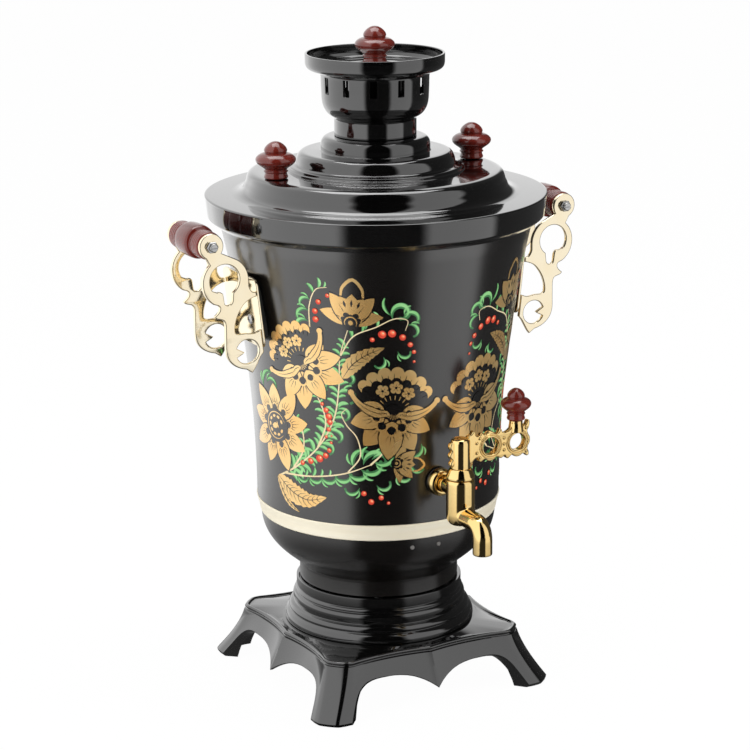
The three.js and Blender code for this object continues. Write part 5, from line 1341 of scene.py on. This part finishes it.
socket = block((23.4, 15.6), [1.5, 1.5, 5.5, 5.5], 71, 84, x=INLET_X, z=INLET)
well = block((11.6, 17.6), 1.2, 74, 84, x=SWITCH_X, z=INLET)
groove = block((27.4, 19.2), [3, 3, 7, 7], 81.5, 84, x=INLET_X, z=INLET)
groove = minus(groove, block((26.4, 18.2), [2.6, 2.6, 6.6, 6.6], 81, 85, x=INLET_X, z=INLET))
inlet = shade(minus(block((52, 22), 4, 56, 82, 0.5, z=INLET), socket, well, groove), 35)
place("inlet_housing", inlet, plastic, "samovar", "power_inlet")
spots = [(INLET_X + across, INLET + rise) for across, rise in ((-7, -2.6), (0, 2.6), (7, -2.6))]
pins = together(*(block((2, 4), 0.5, 69.5, 79, 0.35, *spot) for spot in spots))
place("inlet_pins", shade(pins, 40), bright, "samovar")

hollow = bezier((2.5, -8), (0.9, -3), (0.9, 3), (2.5, 8), 14)
rocker_line = [(-2.5, -4.8), (1.9, -7.9), *hollow, (1.9, 7.9), (-2.5, 4.8)]
rocker = plate(rounded(rocker_line, 0.3, 2, closed=True), [], 10, 0.3, 2)
rocker = transformed(rocker, shift(SWITCH_X, 79.5, INLET) @ ALONG_X)
for z in (99.6, 100.6, 112.2, 113.2):
    rocker = minus(rocker, mesh_of(cube((10.4, 81.2, z - 0.2), (18.0, 83, z + 0.2))))
place("rocker", shade(rocker, 35), plastic, "rocker", "rocker_switch")


# Heating element, nuts, thermostat, rod, screws, wires and lamps

LEG_X, LEG_Y, LOOP = 14, -38, 52  # the element's legs, and the radius of its loop

opening = 2 * math.asin(LEG_X / LOOP)
angles = [-math.pi / 2 - opening + 2 * (opening - math.pi) * i / 12 for i in range(13)]
loop = [(LOOP * math.cos(a), LOOP * math.sin(a), 148.6) for a in angles]
legs = [[(x, LEG_Y, z) for z in (120.6, 134.6, 141.4)] for x in (-LEG_X, LEG_X)]
rod = smoothed(legs[0] + loop + legs[1][::-1])
rod = tube(rod, [3.1] + [3.6] * (len(rod) - 2) + [3.1], 20)
washer = rounded([(2.2, 128.2), (5.4, 128.2), (5.4, 130.0), (2.2, 130.0)], 0.3, 2, closed=True)
washer = lathe(washer, 32, closed=True)
washers = [moved(washer, (x, LEG_Y, 0)) for x in (-LEG_X, LEG_X)]
place("heater_rod", mesh_of(joined(rod, *washers), 50), steel, "samovar", "heating_element")


def nut(name, radius, bore, low, high, replaced, look=steel, slot="steel", way=Matrix.Identity(4)):
    hole = turned([(0, low - 1), (bore, low - 1), (bore, high + 1), (0, high + 1)], steps=40)
    made = transformed(minus(mesh_of(hexagon(radius, low, high)), hole), way)
    place(name, shade(made, 30), look, "samovar", replaced)


for side, sign in SIDES:
    spot = shift(sign * LEG_X, LEG_Y)
    nut("leg_nut_" + side, 7, 3.9, 130.3, 134.3, "heater_nut_" + side, way=spot)
nut("rod_nut", 6.4, 3.3, 27.8, 32.8, "tie_nut")
nut("tap_lock_nut", 9.7, 5.8, 77.05, 82.05, "tap_nut", gold, "brass", shift(z=TAP.z) @ FORWARDS.to_4x4())

puck_line = [
    (0, 126.3), (3, 126.3), (3.3, 126.9), (8.0, 127.0), (9.0, 127.4), (9.5, 128.4), (9.5, 132.4),
    (8.7, 132.8), (8.7, 134.3), (0, 134.3),
]
puck = turned(puck_line, 0.3, steps=56, at=(0, 24, 0), soft=3)
place("thermostat_puck", puck, plastic, "samovar", "thermostat")


def threaded(radius, low, high):
    """Outline of a thread from low to high."""
    pitch, line, z = 0.8, [], low
    while z + pitch < high:
        line += [(radius - 0.4, z), (radius, z + pitch * 0.5)]
        z += pitch
    return [*line, (radius - 0.4, z)]


rod_line = [(0, 27.8), (2.2, 27.8), *threaded(3, 28.2, 60), (3, 61), (3, 131.3)]
rod_line += [(7.4, 131.3), (8, 131.9), (8, 133.7), (7.4, 134.3), (0, 134.3)]
place("tie_bolt", turned(rod_line, steps=40), steel, "samovar", "tie_rod")


def knob_screw(name, replaced, x, seat, body):
    """A pan head under the sheet and a threaded shank up into the knob."""
    line = [(0, 0), (2.9, 0), (3.8, 0.5), (4.2, 1.2), (4.2, 2), (2, 2), (2, 4.5)]
    line += [*threaded(2, 4.6, 14.6), (0, 15)]
    made = turned(line, steps=36, at=(x, 0, seat))
    for a, b in ((2, 0.35), (0.35, 2)):
        made = minus(made, mesh_of(cube((x - a, -b, seat - 1), (x + a, b, seat + 1))))
    place(name, shade(made, 40), steel, body, replaced)


for side, sign in SIDES:
    knob_screw("screw_under_lid_" + side, "lid_knob_screw_" + side, sign * KNOB_X, 371.1, "lid")
knob_screw("screw_under_cap", "cap_knob_screw", 0, 445.7, "cap")

for side, sign in SIDES:
    path = [(11.7, 55.7, INLET), (11.7, 49.7, INLET), (34.6, 0, 100.4)]
    path += [(27.7, LEG_Y / 2, 100.4), (LEG_X, LEG_Y, 114.3), (LEG_X, LEG_Y, 120.3)]
    path = smoothed([(sign * x, y, z) for x, y, z in path], 7)
    radii = [1.3 if 3 <= i < len(path) - 4 else 1.75 for i in range(len(path))]
    place("lead_" + side, mesh_of(tube(path, radii, 16), 60), rubber, "samovar", "wire_" + side)

LAMPS = 120  # height of the lamps
lamp_line = [(0, -4.4), (1.5, -4.4), (1.5, -0.3), (1.1, 0), (0, 0.1)]
lamp_reach = next(r for r, z in bowl_curve if z >= LAMPS) + 0.5
for side, angle in (("left", -102), ("right", -88.3)):
    at = (*heading(angle, lamp_reach), LAMPS)
    lamp = turned(lamp_line, 0.25, steps=32, at=at, way=turn(angle, "Z") @ turn(90, "Y"), soft=3)
    place("lamp_" + side, lamp, lens, "samovar", "indicator_lens_" + side)


# Floor, lights, world and camera


def maths(tree, operation, first, second):
    return node(tree, "Math", {0: first, 1: second}, operation=operation).outputs[0]


def towards(tree, where, bearing, start, end, amount):
    """An amount that is full towards a bearing, in degrees from X, and fades out to its sides."""
    level = node(tree, "VectorMath", {0: where, 1: (1, 1, 0)}, operation="MULTIPLY").outputs[0]
    unit = node(tree, "VectorMath", {0: level}, operation="NORMALIZE").outputs[0]
    bearing = (*heading(bearing), 0)
    along = node(tree, "VectorMath", {0: unit, 1: bearing}, operation="DOT_PRODUCT").outputs["Value"]
    start, end = math.cos(math.radians(start)), math.cos(math.radians(end))
    return spread(tree, along, 0, amount, start, end, "SMOOTHSTEP")


def room_light(tree, where):
    """White all round; gloss shows the left softbox, and the dark where the photographer and the room are."""
    change = 0.0
    for zone in (
        (156, 70, 56, 0.3),  # left softbox
        (-113, 32, 22, -1.0),  # the photographer
        (8, 46, 38, -0.95),  # the dark end of the room
    ):
        change = maths(tree, "ADD", change, towards(tree, where, *zone))
    rays = node(tree, "LightPath").outputs
    change = maths(tree, "MULTIPLY", change, rays["Is Glossy Ray"])
    seen = maths(tree, "MAXIMUM", rays["Is Camera Ray"], rays["Is Glossy Ray"])
    seen = maths(tree, "MAXIMUM", seen, rays["Is Transmission Ray"])
    return seen, maths(tree, "ADD", 1.0, change)


mesh = bpy.data.meshes.new("floor")
mesh.from_pydata([(-6, -6, 0), (6, -6, 0), (6, 6, 0), (-6, 6, 0)], [], [(0, 1, 2, 3)])
material = bpy.data.materials.new("floor")
material.use_nodes = True
tree = material.node_tree
shader = tree.nodes["Principled BSDF"]
fill(tree, shader, {"Base Color": (0.9, 0.9, 0.9, 1), "Roughness": 0.9, "Specular IOR Level": 0.1})
where = node(tree, "TexCoord").outputs["Object"]
seen, white = room_light(tree, where)
distance = node(tree, "VectorMath", {0: where}, operation="LENGTH").outputs["Value"]
# gloss shows the floor dark close to the stand, where the real floor lies in shadow
near = spread(tree, distance, 0.12, 1.0, 0.16, 0.7)
near = maths(tree, "MAXIMUM", near, node(tree, "LightPath").outputs["Is Camera Ray"])
glow = node(tree, "Emission", {"Strength": maths(tree, "MULTIPLY", white, near)})
# the floor that the camera sees is plain white, with a share left to catch the shadow
seen = maths(tree, "MULTIPLY", seen, 0.98)
mix = node(tree, "MixShader", {0: seen, 1: shader.outputs[0], 2: glow.outputs[0]})
fill(tree, tree.nodes["Material Output"], {"Surface": mix.outputs[0]})
mesh.materials.append(material)
floor = linked("floor", mesh)

# name, place, height of the aim, size and power of each softbox
for name, at, aim, size, power in (
    ("softbox_left", (-1.6, -0.5, 0.9), 0.25, (0.7, 1.5), 22),
    ("softbox_right", (1.5, -0.9, 0.9), 0.25, (0.6, 1.5), 20),
    ("softbox_top", (0.1, 0.2, 1.9), 0.3, (1.4, 1.0), 16),
):
    light = bpy.data.lights.new(name, "AREA")
    light.shape = "RECTANGLE"
    light.size, light.size_y = size
    light.energy = power
    holder = linked(name, light)
    holder.location = at
    holder.rotation_mode = "QUATERNION"
    holder.rotation_quaternion = (Vector((0, 0, aim)) - Vector(at)).to_track_quat("-Z", "Y")
    holder.visible_glossy = name == "softbox_top"

world = bpy.data.worlds.new("studio")
bpy.context.scene.world = world
world.use_nodes = True
tree = world.node_tree
seen, white = room_light(tree, node(tree, "TexCoord").outputs["Generated"])
plain = maths(tree, "MULTIPLY", maths(tree, "SUBTRACT", 1.0, seen), 0.55)
strength = maths(tree, "ADD", plain, maths(tree, "MULTIPLY", seen, white))
fill(tree, tree.nodes["Background"], {"Strength": strength, "Color": (1, 1, 1, 1)})

FOCAL, WIDTH = 2555.73, 750  # focal length and width of the photo, in pixels
camera = bpy.data.cameras.new("camera")
camera.sensor_width = 36
camera.lens = FOCAL * camera.sensor_width / WIDTH
camera.clip_start, camera.clip_end = 0.05, 50
holder = linked("camera", camera)
right = Vector((0.87978, -0.47532, -0.00737))
up = Vector((0.12968, 0.22505, 0.96568))
ahead = Vector((0.45735, 0.85054, -0.25964))
aim = Matrix((right, up, -ahead)).transposed()
holder.matrix_world = Matrix.Translation((-0.845135, -1.568398, 0.702630)) @ aim.to_4x4()
bpy.context.scene.camera = holder
bpy.context.scene.view_settings.view_transform = "Standard"
